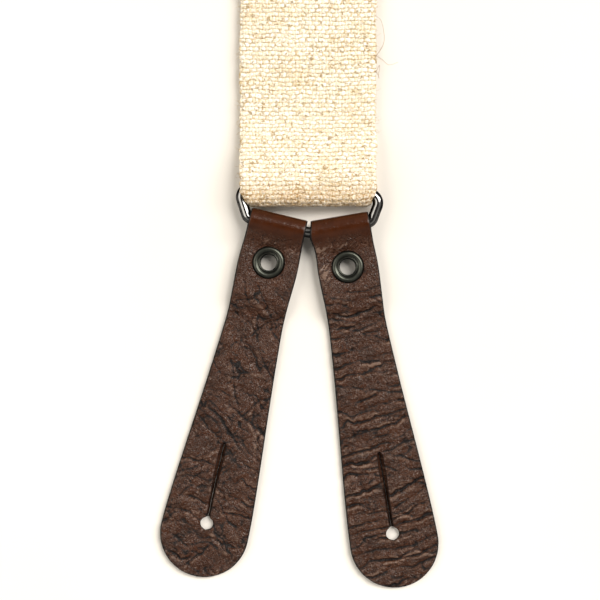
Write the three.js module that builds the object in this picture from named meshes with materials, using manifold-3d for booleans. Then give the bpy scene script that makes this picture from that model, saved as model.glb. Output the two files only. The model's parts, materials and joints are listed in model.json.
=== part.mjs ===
// Y-back button-on suspenders, laid open on a flat surface.
// Millimetres, +Z up. The surface is z = 0. The origin is the middle of the back patch, on its underside.
// The two front straps run towards -Y and the back strap towards +Y.
// Each strap end loops round a wire ring, and each ring carries two leather tabs with a buttonhole.

import * as THREE from "three";
import { mergeVertices } from "three/addons/utils/BufferGeometryUtils.js";
import Module from "manifold-3d";

const wasm = await Module();
wasm.setup();

// ---------- driving dimensions ----------

const GAP = 0.3; // clearance between neighbouring pieces

const WEB_WIDTH = 38;
const WEB_THICKNESS = 1.6;
const FRONT_LENGTH = 760; // from the point where the strap axes meet to the ring
const FRONT_SPREAD = THREE.MathUtils.degToRad(18); // angle of each front strap off the centre line
const BACK_LENGTH = 165; // from the origin to the back ring
const BACK_RETURN = 46; // how far the back strap's turned-up end reaches above its ring
const SQUEEZE_LENGTH = 4; // the webbing narrows to fit its ring over this length
const LOOP_RAMP = 18; // beside a ring the upper layer comes down over this length
const RETURN_RAMP = 10; // and the layer beneath it over this one
const STEP_RAMP = 14; // length of the other slopes by which webbing changes layer
const PASS_LENGTH = 12; // the passing layer stays up this far below the adjuster
const PASS_RAMP = 16; // and then comes down over this length
const FREE_END = 9; // the webbing's free end hangs this far below the adjuster

const WIRE_RADIUS = 1.5;
const RING_MARGIN = 0.8; // the wire's centre line stands this far out from the webbing's edge
const RING_TAPER = 1.9; // the ring narrows by this on each side from its top to its lower corners
const RING_SLOPE = THREE.MathUtils.degToRad(11.5); // slope of each lower bar
const RING_TOP_BEND = 2.5;
const RING_LOW_BEND = 1.9;
const RING_POINT_BEND = 3;
const RING_YAW = THREE.MathUtils.degToRad(1.9); // how far a front ring lies turned in its loop
const RING_SHIFT = 0.7; // and how far it lies off the strap's axis, towards the wearer's middle
const LOOP_SLACK = 0.65; // the loop's turn lies this far below the bar

const LEATHER = 1.3;
const TAB_FROM_POINT = 1.1; // from the point of the V to the tab's near side, along the bar
const TAB_FROM_CORNER = 1.26; // from the tab's far side to the ring's lower corner
const TAB_FROM_LOOP = 0.65; // from the tab's top outer corner up to the webbing's turn
const TAB_TOP_ROUND = 0.8;
const TAB_SHOULDER = 28; // the tab's sides start to flare this far below its top edge
const TAB_SHOULDER_MORE = 0.3; // how much wider the tab is there than at its top
const TAB_END_WIDTH = 24.8; // the round end's diameter
const TAB_FLARE_START = 0.25; // shares of the flare's length where its curve's handles lie
const TAB_FLARE_END = 0.78;
const TAB_FLARE_LEAN = 0.15; // how far the handles lean in or out
const TAB_LENGTH = 104.6;
const TAIL_RAMP = 7; // below the tail the face comes down to the surface over this length
const FOLD_RAMP = 6; // and below the fold to the tail over this one
const TAIL_PAST_EYELET = 8.7; // how far the tail behind reaches below the eyelet's centre
const BUTTONHOLE_RADIUS = 1.8;
const BUTTONHOLE_FROM_END = 15.1;
const SLIT_LENGTH = 23.2;
const SLIT_WIDTH = 0.9;

const EYELET_FROM_TOP = 13.8;
const EYELET_RADIUS = 4.6;
const EYELET_BORE = 2.3;
const EYELET_WALL = 0.4;
const EYELET_FLANGE = 0.8;
const EYELET_EDGE = 0.2; // the flange's rim leans in by this
const WASHER_THICKNESS = 0.5;

const ADJUSTER_HEIGHT = 150; // from the ring up to the middle of the adjuster
const PLATE = 1.2; // thickness of the adjuster's sheet metal
const SIDE_CLEARANCE = 0.5; // between the webbing's edge and the adjuster's cheeks
const LOW_BAR = [-14, -9.5]; // the lower crossbar, from the middle of the adjuster
const HIGH_BAR = [4, 12]; // the upper crossbar
const PIN_RADIUS = 0.75;
const KNUCKLE_RADIUS = 1.8;
const TOOTH = 2.1; // reach of the lever's biting edge below the pin's centre
const TOOTH_HALF = 0.6; // half the thickness of that edge
const HEEL = 0.4; // the flat behind the edge starts this far below the pin's centre
const LEVER_LENGTH = 21;
const LIP_RISE = 0.8; // the lever's free end turns up by this
const LIP_LENGTH = 4;
const CHEEK_FRONT = 5; // the cheeks' feet, from the pin
const CHEEK_BACK = 4;
const CHEEK_OVER = 0.4; // metal of a cheek beyond the knuckle

const PATCH_LOW = 32; // from the origin to the patch's lower edge, on the front straps' side
const PATCH_HIGH = 28; // and to its upper edge
const PATCH_MARGIN = 4; // leather beyond the edge of the webbing
const PATCH_ROUND = 5;
const PATCH_NECK = 14; // the patch's sides start to flare this far above the origin
const PATCH_FLANK = [8, 2]; // the flare's handle: in from the widest point, and above the origin
const PATCH_CLEAR = 2; // the webbing leaves the patch this far before it starts to come down
const FRONT_CUT = 5; // the front straps' ends stop this far below the origin

const OVERSHOOT = 1; // cutting shapes reach this far past what they cut
const BEND_STEPS = 5; // how finely curves are divided
const ROD_STEPS = 4;
const ROD_SIDES = 10;
const TURNED_SIDES = 24;
const DRILL_SIDES = 20;

// ---------- sizes that follow ----------

const webHalf = WEB_WIDTH / 2;
const tabFoldOuter = WIRE_RADIUS + GAP + LEATHER;
const ringZ = WASHER_THICKNESS + GAP + tabFoldOuter; // height of the ring's wire
const loopRadius = WIRE_RADIUS + GAP + WEB_THICKNESS / 2; // middle line of the webbing's turn
const floorLayer = WEB_THICKNESS / 2; // middle height of webbing that lies on the surface
const overLayer = floorLayer + WEB_THICKNESS + GAP; // and of webbing that lies on another layer
const barZ = WEB_THICKNESS + GAP; // underside of the adjuster's crossbars
const turnLayer = barZ + PLATE + GAP + WEB_THICKNESS / 2; // the layer next above a crossbar
const passLayer = turnLayer + WEB_THICKNESS + GAP; // the layer above that
const pinY = ADJUSTER_HEIGHT + (HIGH_BAR[0] + HIGH_BAR[1]) / 2;
const pinZ = turnLayer + WEB_THICKNESS / 2 + GAP + TOOTH;
const patchLayer = LEATHER + GAP + WEB_THICKNESS / 2; // middle height of webbing inside the patch
const patchTopZ = patchLayer + WEB_THICKNESS / 2 + GAP;
const axesMeet = (webHalf + GAP / 2) / Math.sin(FRONT_SPREAD) - PATCH_LOW; // where the strap axes meet
const tabTopY = tabFoldOuter; // a tab's top edge, above its bar
const ringTopHalf = webHalf + RING_MARGIN;
const ringLowHalf = ringTopHalf - RING_TAPER;
const lowBarLength = ringLowHalf / Math.cos(RING_SLOPE);
const tabTopWidth = lowBarLength - TAB_FROM_POINT - TAB_FROM_CORNER;
const turnBottom = LOOP_SLACK + loopRadius + WEB_THICKNESS / 2; // the webbing's turn ends this far below the bar
const tabFarSide = TAB_FROM_POINT + tabTopWidth;
const ringDepth =
  turnBottom + TAB_FROM_LOOP + tabFarSide * Math.sin(RING_SLOPE) + tabFoldOuter * Math.cos(RING_SLOPE);
const barCornerY = ringDepth - ringLowHalf * Math.tan(RING_SLOPE);
const foldHalf = ringTopHalf - RING_TOP_BEND - GAP; // half-width of the webbing inside the ring

// ---------- materials ----------

const linen = () => new THREE.MeshStandardMaterial({ color: 0xe6d9bb, roughness: 0.95, metalness: 0 });
const leather = () => new THREE.MeshStandardMaterial({ color: 0x3f2a24, roughness: 0.55, metalness: 0 });
const gunmetal = () => new THREE.MeshStandardMaterial({ color: 0x26262a, roughness: 0.2, metalness: 1 });
const agedMetal = () => new THREE.MeshStandardMaterial({ color: 0x5b5d54, roughness: 0.35, metalness: 1 });

// ---------- geometry helpers ----------

function toSolid(geometry) {
  const bare = geometry.clone();
  bare.deleteAttribute("normal");
  bare.deleteAttribute("uv");
  const merged = mergeVertices(bare, 1e-4);
  return new wasm.Manifold(
    new wasm.Mesh({
      numProp: 3,
      vertProperties: merged.attributes.position.array,
      triVerts: new Uint32Array(merged.index.array),
    }),
  );
}

function toGeometry(solid) {
  const mesh = solid.getMesh();
  const geometry = new THREE.BufferGeometry();
  geometry.setAttribute("position", new THREE.BufferAttribute(mesh.vertProperties, 3));
  geometry.setIndex(new THREE.BufferAttribute(mesh.triVerts, 1));
  geometry.computeVertexNormals();
  return geometry;
}

function named(name, geometry, material) {
  const mesh = new THREE.Mesh(geometry, material);
  mesh.name = name;
  return mesh;
}

// A plan outline (x, y) made into a slab between two heights.
function slab(outline, low, high) {
  const options = { depth: high - low, bevelEnabled: false, curveSegments: BEND_STEPS + 1 };
  return new THREE.ExtrudeGeometry(outline, options).translate(0, 0, low);
}

// A side outline (y, z) extruded across X, centred on x = 0.
function acrossX(outline, width) {
  const options = { depth: width, bevelEnabled: false, curveSegments: BEND_STEPS + 1 };
  const geometry = new THREE.ExtrudeGeometry(outline, options);
  const turn = new THREE.Matrix4().makeBasis(
    new THREE.Vector3(0, 1, 0),
    new THREE.Vector3(0, 0, 1),
    new THREE.Vector3(1, 0, 0),
  );
  return geometry.applyMatrix4(turn).translate(-width / 2, 0, 0);
}

// The side outline of a strip of even thickness that follows a middle line.
function stripOutline(middle, thickness) {
  const points = middle.getPoints(BEND_STEPS).filter((p, i, all) => !i || p.distanceTo(all[i - 1]) > 1e-6);
  const sides = [[], []];
  points.forEach((p, i) => {
    const along = points[Math.min(i + 1, points.length - 1)].clone().sub(points[Math.max(i - 1, 0)]);
    const normal = new THREE.Vector2(-along.y, along.x).setLength(thickness / 2);
    sides[0].push(p.clone().add(normal));
    sides[1].unshift(p.clone().sub(normal));
  });
  return new THREE.Shape([...sides[0], ...sides[1]]);
}

// Carries a middle line to a new place with an S-shaped ramp that starts and ends level.
function ramp(path, y, z) {
  const from = path.currentPoint.clone();
  const half = (from.x + y) / 2;
  path.bezierCurveTo(half, from.y, half, z, y, z);
}

// A polygon's points with each corner rounded: corners are [x, y, radius].
function roundedLoop(corners) {
  return corners.flatMap(([x, y, radius], i) => {
    const corner = new THREE.Vector2(x, y);
    const toBefore = new THREE.Vector2(...corners.at(i - 1)).sub(corner).normalize();
    const toAfter = new THREE.Vector2(...corners[(i + 1) % corners.length]).sub(corner).normalize();
    const half = Math.acos(toBefore.dot(toAfter)) / 2;
    const inward = toBefore.clone().add(toAfter).setLength(radius / Math.sin(half));
    const centre = corner.clone().add(inward);
    const start = corner.clone().addScaledVector(toBefore, radius / Math.tan(half)).sub(centre);
    const end = corner.clone().addScaledVector(toAfter, radius / Math.tan(half)).sub(centre);
    const turn = Math.atan2(start.cross(end), start.dot(end));
    return Array.from({ length: ROD_STEPS + 1 }, (_, k) =>
      start.clone().rotateAround(new THREE.Vector2(), (turn * k) / ROD_STEPS).add(centre),
    );
  });
}

// A round rod bent into a closed loop that lies level, through anticlockwise points.
function closedRod(points, radius) {
  const positions = [];
  const index = [];
  points.forEach((p, i) => {
    const before = p.clone().sub(points.at(i - 1)).normalize();
    const after = points[(i + 1) % points.length].clone().sub(p).normalize();
    const along = before.add(after).normalize();
    for (let k = 0; k < ROD_SIDES; k += 1) {
      const angle = (2 * Math.PI * k) / ROD_SIDES;
      const out = radius * Math.cos(angle);
      positions.push(p.x + along.y * out, p.y - along.x * out, radius * Math.sin(angle));
      const next = (i + 1) % points.length;
      const beside = (k + 1) % ROD_SIDES;
      const [a, b] = [i * ROD_SIDES + k, i * ROD_SIDES + beside];
      const [c, d] = [next * ROD_SIDES + k, next * ROD_SIDES + beside];
      index.push(a, c, b, b, c, d);
    }
  });
  const geometry = new THREE.BufferGeometry();
  geometry.setAttribute("position", new THREE.Float32BufferAttribute(positions, 3));
  geometry.setIndex(index);
  geometry.computeVertexNormals();
  return geometry;
}

// A closed profile of [radius, height] points turned about the Z axis.
function turned(profile) {
  const points = [...profile, profile[0]].map(([r, z]) => new THREE.Vector2(r, z));
  return new THREE.LatheGeometry(points, TURNED_SIDES).rotateX(Math.PI / 2);
}

// A level drill for holes down through a piece, standing on its middle.
function drill(radius) {
  const height = 4 * ringZ;
  return toSolid(new THREE.CylinderGeometry(radius, radius, height, DRILL_SIDES).rotateX(Math.PI / 2));
}

// ---------- webbing ----------

// The plan outline of a strap: narrowed where it turns inside the ring, which lies off its axis by
// ringX, and cut at its upper end.
function strapPlan(upperEnd, ringX) {
  const narrowTop = WIRE_RADIUS + 2 * GAP;
  const fullTop = narrowTop + SQUEEZE_LENGTH;
  const low = -turnBottom - OVERSHOOT;
  return new THREE.Shape([
    new THREE.Vector2(ringX - foldHalf, low),
    new THREE.Vector2(ringX + foldHalf, low),
    new THREE.Vector2(ringX + foldHalf, narrowTop),
    new THREE.Vector2(webHalf, fullTop),
    ...upperEnd,
    new THREE.Vector2(-webHalf, fullTop),
    new THREE.Vector2(ringX - foldHalf, narrowTop),
  ]);
}

function strapSolid(middle, plan) {
  const strip = toSolid(acrossX(stripOutline(middle, WEB_THICKNESS), WEB_WIDTH + 2 * OVERSHOOT));
  return toGeometry(strip.intersect(toSolid(slab(plan, -OVERSHOOT, pinZ))));
}

// From the upper layer, round the ring's bar and back underneath.
function turnRoundRing(path) {
  ramp(path, LOOP_RAMP, overLayer);
  ramp(path, 0, ringZ + loopRadius);
  path.lineTo(-LOOP_SLACK, ringZ + loopRadius);
  path.absarc(-LOOP_SLACK, ringZ, loopRadius, Math.PI / 2, (3 * Math.PI) / 2, false);
  path.lineTo(0, ringZ - loopRadius);
  ramp(path, RETURN_RAMP, floorLayer);
}

// Side is -1 for the left strap and 1 for the right one.
function frontStrap(side) {
  const patchEdge = FRONT_LENGTH - (axesMeet + PATCH_LOW) / Math.cos(FRONT_SPREAD);
  const clearOfPatch = patchEdge - webHalf * Math.tan(FRONT_SPREAD) - PATCH_CLEAR;
  const lowBarEnd = ADJUSTER_HEIGHT + LOW_BAR[1];
  const turnRadius = (turnLayer - floorLayer) / 2;
  const path = new THREE.Path();
  path.moveTo(FRONT_LENGTH, patchLayer);
  path.lineTo(clearOfPatch, patchLayer);
  ramp(path, clearOfPatch - STEP_RAMP, floorLayer);
  path.lineTo(ADJUSTER_HEIGHT + HIGH_BAR[1] + STEP_RAMP, floorLayer);
  ramp(path, ADJUSTER_HEIGHT + HIGH_BAR[1], turnLayer);
  path.lineTo(ADJUSTER_HEIGHT + HIGH_BAR[0], turnLayer);
  ramp(path, lowBarEnd + turnRadius + WEB_THICKNESS, passLayer);
  path.lineTo(ADJUSTER_HEIGHT + LOW_BAR[0] - PASS_LENGTH, passLayer);
  ramp(path, ADJUSTER_HEIGHT + LOW_BAR[0] - PASS_LENGTH - PASS_RAMP, overLayer);
  path.lineTo(LOOP_RAMP, overLayer);
  turnRoundRing(path);
  path.lineTo(lowBarEnd + GAP, floorLayer);
  path.absarc(lowBarEnd + GAP, floorLayer + turnRadius, turnRadius, -Math.PI / 2, Math.PI / 2, false);
  path.lineTo(ADJUSTER_HEIGHT + LOW_BAR[0] - FREE_END, turnLayer);

  // The upper end is mitred along the centre line and cut square to it below the origin.
  const [sin, cos] = [Math.sin(FRONT_SPREAD), Math.cos(FRONT_SPREAD)];
  const reach = axesMeet + FRONT_CUT;
  const mitreStart = new THREE.Vector2(webHalf, FRONT_LENGTH - (webHalf * cos + GAP / 2) / sin);
  const mitreEnd = new THREE.Vector2(reach * sin - (GAP / 2) * cos, FRONT_LENGTH - reach * cos - (GAP / 2) * sin);
  const outerEnd = new THREE.Vector2(-webHalf, FRONT_LENGTH - (reach + webHalf * sin) / cos);
  const upperEnd = [mitreStart, mitreEnd, outerEnd];
  if (side > 0) {
    upperEnd.reverse().forEach((p) => {
      p.x = -p.x;
    });
  }
  return strapSolid(path, strapPlan(upperEnd, -side * RING_SHIFT));
}

function backStrap() {
  const patchEdge = BACK_LENGTH - PATCH_HIGH;
  const path = new THREE.Path();
  path.moveTo(BACK_LENGTH + FRONT_CUT - GAP, patchLayer);
  path.lineTo(patchEdge - PATCH_CLEAR, patchLayer);
  ramp(path, patchEdge - PATCH_CLEAR - STEP_RAMP, floorLayer);
  path.lineTo(BACK_RETURN + STEP_RAMP, floorLayer);
  ramp(path, BACK_RETURN, overLayer);
  path.lineTo(LOOP_RAMP, overLayer);
  turnRoundRing(path);
  path.lineTo(BACK_RETURN - GAP, floorLayer);
  const top = BACK_LENGTH + FRONT_CUT - GAP;
  const upperEnd = [new THREE.Vector2(webHalf, top), new THREE.Vector2(-webHalf, top)];
  return strapSolid(path, strapPlan(upperEnd, 0));
}

// ---------- ring ----------

function ring() {
  const corners = [
    [ringTopHalf, 0, RING_TOP_BEND],
    [-ringTopHalf, 0, RING_TOP_BEND],
    [-ringLowHalf, -barCornerY, RING_LOW_BEND],
    [0, -ringDepth, RING_POINT_BEND],
    [ringLowHalf, -barCornerY, RING_LOW_BEND],
  ];
  return closedRod(roundedLoop(corners), WIRE_RADIUS);
}

// ---------- leather tab, in its own frame: the bar runs along X through (0, 0, ringZ) ----------

function tabPlan() {
  const top = tabTopWidth / 2;
  const shoulder = (tabTopWidth + TAB_SHOULDER_MORE) / 2;
  const end = TAB_END_WIDTH / 2;
  const shoulderY = tabTopY - TAB_SHOULDER;
  const endY = tabTopY - TAB_LENGTH + end;
  const high = [shoulder + TAB_FLARE_LEAN, shoulderY - TAB_FLARE_START * (shoulderY - endY)];
  const low = [end - TAB_FLARE_LEAN, shoulderY - TAB_FLARE_END * (shoulderY - endY)];
  const plan = new THREE.Shape();
  plan.moveTo(-top + TAB_TOP_ROUND, tabTopY + OVERSHOOT);
  plan.lineTo(-top, tabTopY - TAB_TOP_ROUND);
  plan.lineTo(-shoulder, shoulderY);
  plan.bezierCurveTo(-high[0], high[1], -low[0], low[1], -end, endY);
  plan.absarc(0, endY, end, Math.PI, 2 * Math.PI, false);
  plan.bezierCurveTo(...low, ...high, shoulder, shoulderY);
  plan.lineTo(top, tabTopY - TAB_TOP_ROUND);
  plan.lineTo(top - TAB_TOP_ROUND, tabTopY + OVERSHOOT);
  return plan;
}

// The side view: a tail behind, the fold over the bar, and the face that comes down to the surface.
function tabMiddle() {
  const foldRadius = WIRE_RADIUS + GAP + LEATHER / 2;
  const tailZ = ringZ - foldRadius;
  const faceZ = tailZ + LEATHER + GAP;
  const tailY = tabTopY - EYELET_FROM_TOP - TAIL_PAST_EYELET;
  const path = new THREE.Path();
  path.moveTo(tailY, tailZ);
  path.lineTo(0, tailZ);
  path.absarc(0, ringZ, foldRadius, -Math.PI / 2, Math.PI / 2, false);
  ramp(path, -FOLD_RAMP, faceZ);
  path.lineTo(tailY - OVERSHOOT, faceZ);
  ramp(path, tailY - OVERSHOOT - TAIL_RAMP, LEATHER / 2);
  path.lineTo(tabTopY - TAB_LENGTH - OVERSHOOT, LEATHER / 2);
  return path;
}

// A drilled hole with a slit that runs up from it, for the button to pass.
function buttonholeCutter() {
  const holeY = tabTopY - TAB_LENGTH + BUTTONHOLE_FROM_END;
  const blade = new THREE.BoxGeometry(SLIT_WIDTH, SLIT_LENGTH, 4 * LEATHER).translate(0, SLIT_LENGTH / 2, 0);
  return drill(BUTTONHOLE_RADIUS).add(toSolid(blade)).translate([0, holeY, 0]);
}

function eyeletHoleCutter() {
  return drill(EYELET_BORE + EYELET_WALL + GAP).translate([0, tabTopY - EYELET_FROM_TOP, 0]);
}

function tab() {
  const strip = toSolid(acrossX(stripOutline(tabMiddle(), LEATHER), TAB_END_WIDTH + 2 * OVERSHOOT));
  const outlined = strip.intersect(toSolid(slab(tabPlan(), -OVERSHOOT, 2 * ringZ)));
  return toGeometry(outlined.subtract(buttonholeCutter()).subtract(eyeletHoleCutter()));
}

function eyelet() {
  const barrel = EYELET_BORE + EYELET_WALL;
  const seat = ringZ - tabFoldOuter + 2 * LEATHER + 2 * GAP;
  const crown = seat + EYELET_FLANGE;
  return turned([
    [EYELET_BORE, 0],
    [barrel, 0],
    [barrel, seat],
    [EYELET_RADIUS, seat],
    [EYELET_RADIUS - EYELET_EDGE, seat + EYELET_FLANGE / 2],
    [(EYELET_RADIUS + barrel) / 2, crown],
    [barrel, crown],
    [EYELET_BORE, seat + EYELET_FLANGE / 2],
  ]);
}

function washer() {
  const bore = EYELET_BORE + EYELET_WALL + GAP;
  return turned([
    [bore, 0],
    [EYELET_RADIUS, 0],
    [EYELET_RADIUS, WASHER_THICKNESS],
    [bore, WASHER_THICKNESS],
  ]);
}

// ---------- one ring with its two tabs ----------

function tabAssembly(label, side) {
  const group = new THREE.Group();
  group.add(named(`tab_${label}`, tab(), leather()));
  for (const [piece, make] of [
    ["eyelet", eyelet],
    ["washer", washer],
  ]) {
    const mesh = named(`${piece}_${label}`, make(), agedMetal());
    mesh.position.y = tabTopY - EYELET_FROM_TOP;
    group.add(mesh);
  }
  const middle = TAB_FROM_POINT + tabTopWidth / 2;
  group.position.set(side * middle * Math.cos(RING_SLOPE), middle * Math.sin(RING_SLOPE) - ringDepth, 0);
  group.rotation.z = side * RING_SLOPE;
  return group;
}

// Labels are those of the tabs on the -X and +X side of the ring.
function ringAssembly(label, tabLabels, ringX, yaw) {
  const group = new THREE.Group();
  const wire = named(`ring_${label}`, ring(), gunmetal());
  wire.position.z = ringZ;
  group.add(wire);
  tabLabels.forEach((tabLabel, i) => group.add(tabAssembly(tabLabel, i ? 1 : -1)));
  group.position.x = ringX;
  group.rotation.z = yaw;
  return group;
}

// ---------- adjuster ----------

function adjusterFrame() {
  const inner = webHalf + SIDE_CLEARANCE;
  const outer = inner + PLATE;
  const ladder = new THREE.Shape([
    new THREE.Vector2(-outer, LOW_BAR[0]),
    new THREE.Vector2(outer, LOW_BAR[0]),
    new THREE.Vector2(outer, HIGH_BAR[1]),
    new THREE.Vector2(-outer, HIGH_BAR[1]),
  ]);
  ladder.holes.push(
    new THREE.Path([
      new THREE.Vector2(-inner, LOW_BAR[1]),
      new THREE.Vector2(-inner, HIGH_BAR[0]),
      new THREE.Vector2(inner, HIGH_BAR[0]),
      new THREE.Vector2(inner, LOW_BAR[1]),
    ]),
  );
  const pinFromMiddle = pinY - ADJUSTER_HEIGHT;
  const cheek = new THREE.Shape();
  cheek.moveTo(pinFromMiddle - CHEEK_FRONT, barZ);
  cheek.lineTo(pinFromMiddle + CHEEK_BACK, barZ);
  cheek.absarc(pinFromMiddle, pinZ, KNUCKLE_RADIUS + CHEEK_OVER, 0, Math.PI, false);
  cheek.holes.push(new THREE.Path().absarc(pinFromMiddle, pinZ, PIN_RADIUS + GAP, 0, 2 * Math.PI, true));
  const base = toSolid(slab(ladder, barZ, barZ + PLATE));
  const cheeks = [-1, 1].map((side) =>
    toSolid(acrossX(cheek, PLATE)).translate([side * (inner + PLATE / 2), 0, 0]),
  );
  return toGeometry(base.add(cheeks[0]).add(cheeks[1]));
}

function adjusterPin() {
  const length = WEB_WIDTH + 2 * (SIDE_CLEARANCE + PLATE);
  return new THREE.CylinderGeometry(PIN_RADIUS, PIN_RADIUS, length, DRILL_SIDES).rotateZ(Math.PI / 2);
}

// The lever's side view about its pin: a knuckle with a biting edge below, and a cover plate.
function adjusterLever() {
  const outline = new THREE.Shape();
  const under = KNUCKLE_RADIUS - PLATE;
  outline.moveTo(TOOTH_HALF, -TOOTH);
  outline.lineTo(KNUCKLE_RADIUS, 0);
  outline.absarc(0, 0, KNUCKLE_RADIUS, 0, Math.PI / 2, false);
  outline.lineTo(LIP_LENGTH - LEVER_LENGTH, KNUCKLE_RADIUS);
  outline.lineTo(-LEVER_LENGTH, KNUCKLE_RADIUS + LIP_RISE);
  outline.lineTo(-LEVER_LENGTH, under + LIP_RISE);
  outline.lineTo(LIP_LENGTH - LEVER_LENGTH, under);
  outline.lineTo(-KNUCKLE_RADIUS, under);
  outline.lineTo(-KNUCKLE_RADIUS, -HEEL);
  outline.lineTo(-TOOTH_HALF, -TOOTH);
  outline.holes.push(new THREE.Path().absarc(0, 0, PIN_RADIUS + GAP, 0, 2 * Math.PI, true));
  return acrossX(outline, WEB_WIDTH + 2 * (SIDE_CLEARANCE - GAP));
}

function adjuster(label) {
  const group = new THREE.Group();
  const frame = named(`adjuster_frame_${label}`, adjusterFrame(), gunmetal());
  frame.position.y = ADJUSTER_HEIGHT;
  const pin = named(`adjuster_pin_${label}`, adjusterPin(), gunmetal());
  pin.position.set(0, pinY, pinZ);
  const lever = named(`adjuster_lever_${label}`, adjusterLever(), gunmetal());
  lever.position.set(0, pinY, pinZ);
  return group.add(frame, pin, lever);
}

// ---------- back patch ----------

function patchPlan() {
  const lowHalf = axesAt(PATCH_LOW) + webHalf / Math.cos(FRONT_SPREAD) + PATCH_MARGIN;
  const highHalf = webHalf + PATCH_MARGIN;
  const flankX = lowHalf - PATCH_FLANK[0];
  const plan = new THREE.Shape();
  plan.moveTo(-lowHalf + PATCH_ROUND, -PATCH_LOW);
  plan.lineTo(lowHalf - PATCH_ROUND, -PATCH_LOW);
  plan.quadraticCurveTo(lowHalf, -PATCH_LOW, lowHalf, PATCH_ROUND - PATCH_LOW);
  plan.quadraticCurveTo(flankX, PATCH_FLANK[1], highHalf, PATCH_NECK);
  plan.lineTo(highHalf, PATCH_HIGH - PATCH_ROUND);
  plan.quadraticCurveTo(highHalf, PATCH_HIGH, highHalf - PATCH_ROUND, PATCH_HIGH);
  plan.lineTo(PATCH_ROUND - highHalf, PATCH_HIGH);
  plan.quadraticCurveTo(-highHalf, PATCH_HIGH, -highHalf, PATCH_HIGH - PATCH_ROUND);
  plan.lineTo(-highHalf, PATCH_NECK);
  plan.quadraticCurveTo(-flankX, PATCH_FLANK[1], -lowHalf, PATCH_ROUND - PATCH_LOW);
  plan.quadraticCurveTo(-lowHalf, -PATCH_LOW, -lowHalf + PATCH_ROUND, -PATCH_LOW);
  return plan;
}

// How far a front strap's axis lies from the centre line, this far below the origin.
function axesAt(below) {
  return (axesMeet + below) * Math.tan(FRONT_SPREAD);
}

function patchLayerPiece(bottomZ) {
  return slab(patchPlan(), bottomZ, bottomZ + LEATHER);
}

// ---------- the whole pair ----------

function frontEnd(name, side) {
  const group = new THREE.Group();
  const tabNames = [`${name}_outer`, `${name}_inner`];
  if (side > 0) tabNames.reverse();
  group.add(named(`strap_${name}`, frontStrap(side), linen()));
  group.add(ringAssembly(name, tabNames, -side * RING_SHIFT, side * RING_YAW));
  group.add(adjuster(name));
  group.position.set(
    side * FRONT_LENGTH * Math.sin(FRONT_SPREAD),
    axesMeet - FRONT_LENGTH * Math.cos(FRONT_SPREAD),
    0,
  );
  group.rotation.z = side * FRONT_SPREAD;
  return group;
}

function backEnd() {
  const group = new THREE.Group();
  group.add(named("strap_back", backStrap(), linen()));
  group.add(ringAssembly("back", ["back_right", "back_left"], 0, 0));
  group.position.y = BACK_LENGTH;
  group.rotation.z = Math.PI;
  return group;
}

const suspenders = new THREE.Group();
suspenders.add(named("patch_bottom", patchLayerPiece(0), leather()));
suspenders.add(named("patch_top", patchLayerPiece(patchTopZ), leather()));
suspenders.add(frontEnd("front_left", -1), frontEnd("front_right", 1), backEnd());

export default suspenders;
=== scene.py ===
"""The looks of the Y-back suspenders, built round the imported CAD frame.

Lengths are millimetres. MM turns them into Blender's metres, mostly in make_object."""

import json
import math

import bmesh
import bpy
import numpy as np
from mathutils import Matrix, Vector

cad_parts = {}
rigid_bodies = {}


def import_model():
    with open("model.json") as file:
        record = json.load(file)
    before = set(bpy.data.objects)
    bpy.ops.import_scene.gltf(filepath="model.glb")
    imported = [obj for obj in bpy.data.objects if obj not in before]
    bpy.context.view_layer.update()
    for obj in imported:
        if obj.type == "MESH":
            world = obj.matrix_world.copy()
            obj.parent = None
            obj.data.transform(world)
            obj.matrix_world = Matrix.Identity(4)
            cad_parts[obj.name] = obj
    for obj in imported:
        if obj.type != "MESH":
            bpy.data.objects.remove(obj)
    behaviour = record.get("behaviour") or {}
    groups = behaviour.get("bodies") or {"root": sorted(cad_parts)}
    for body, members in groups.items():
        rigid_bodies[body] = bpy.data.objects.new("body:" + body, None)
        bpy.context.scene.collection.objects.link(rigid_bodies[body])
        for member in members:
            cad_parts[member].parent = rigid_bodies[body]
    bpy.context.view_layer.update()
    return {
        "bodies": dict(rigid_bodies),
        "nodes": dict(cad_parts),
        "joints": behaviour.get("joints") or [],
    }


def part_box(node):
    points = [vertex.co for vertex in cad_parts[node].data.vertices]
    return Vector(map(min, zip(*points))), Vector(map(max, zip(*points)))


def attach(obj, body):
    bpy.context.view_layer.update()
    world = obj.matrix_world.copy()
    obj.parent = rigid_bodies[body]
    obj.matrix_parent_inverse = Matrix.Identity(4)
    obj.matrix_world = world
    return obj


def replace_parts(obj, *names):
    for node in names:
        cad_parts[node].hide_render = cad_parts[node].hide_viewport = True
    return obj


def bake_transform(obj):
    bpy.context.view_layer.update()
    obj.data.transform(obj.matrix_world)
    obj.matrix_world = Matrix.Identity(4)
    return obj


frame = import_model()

MM = 0.001

# ---------- sizes, in millimetres ----------

WEB_HALF = 19.0  # half width of the webbing
WEB_THICK = 1.6
WARP_PITCH = 0.92  # across the webbing
WEFT_PITCH = 1.2  # along it
WEAVE_RELIEF = 0.2  # from the gaps to the top of a weft
WEFT_ROUND, WARP_ROUND, THREAD_ROUND = 0.62, 0.7, 0.8  # powers that shape the threads' humps
WARP_HEIGHT = 0.85  # of a warp thread, beside a weft's 1
FLAT_Z = 2.45  # middle height of the strap's upper layer
FLOOR_Z = 0.8  # and of a layer that lies on the surface
WIRE_RADIUS = 1.48
LOW_BAR = 8.2  # from the middle of an adjuster to where the return turns round its lower bar
LEVER_RISE = 1.8  # from the middle of an adjuster's pin to the lever's face
RING_TOP_HALF = 19.8  # half width of a ring between its upper corners
RING_LOW_HALF = 17.25  # and between its lower ones
LOOP_RADIUS = 2.6  # middle line of the webbing round a ring
LOOP_SLACK = 0.65  # how far past the ring's bar the loop's centre lies
LEATHER = 1.3  # thickness
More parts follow.
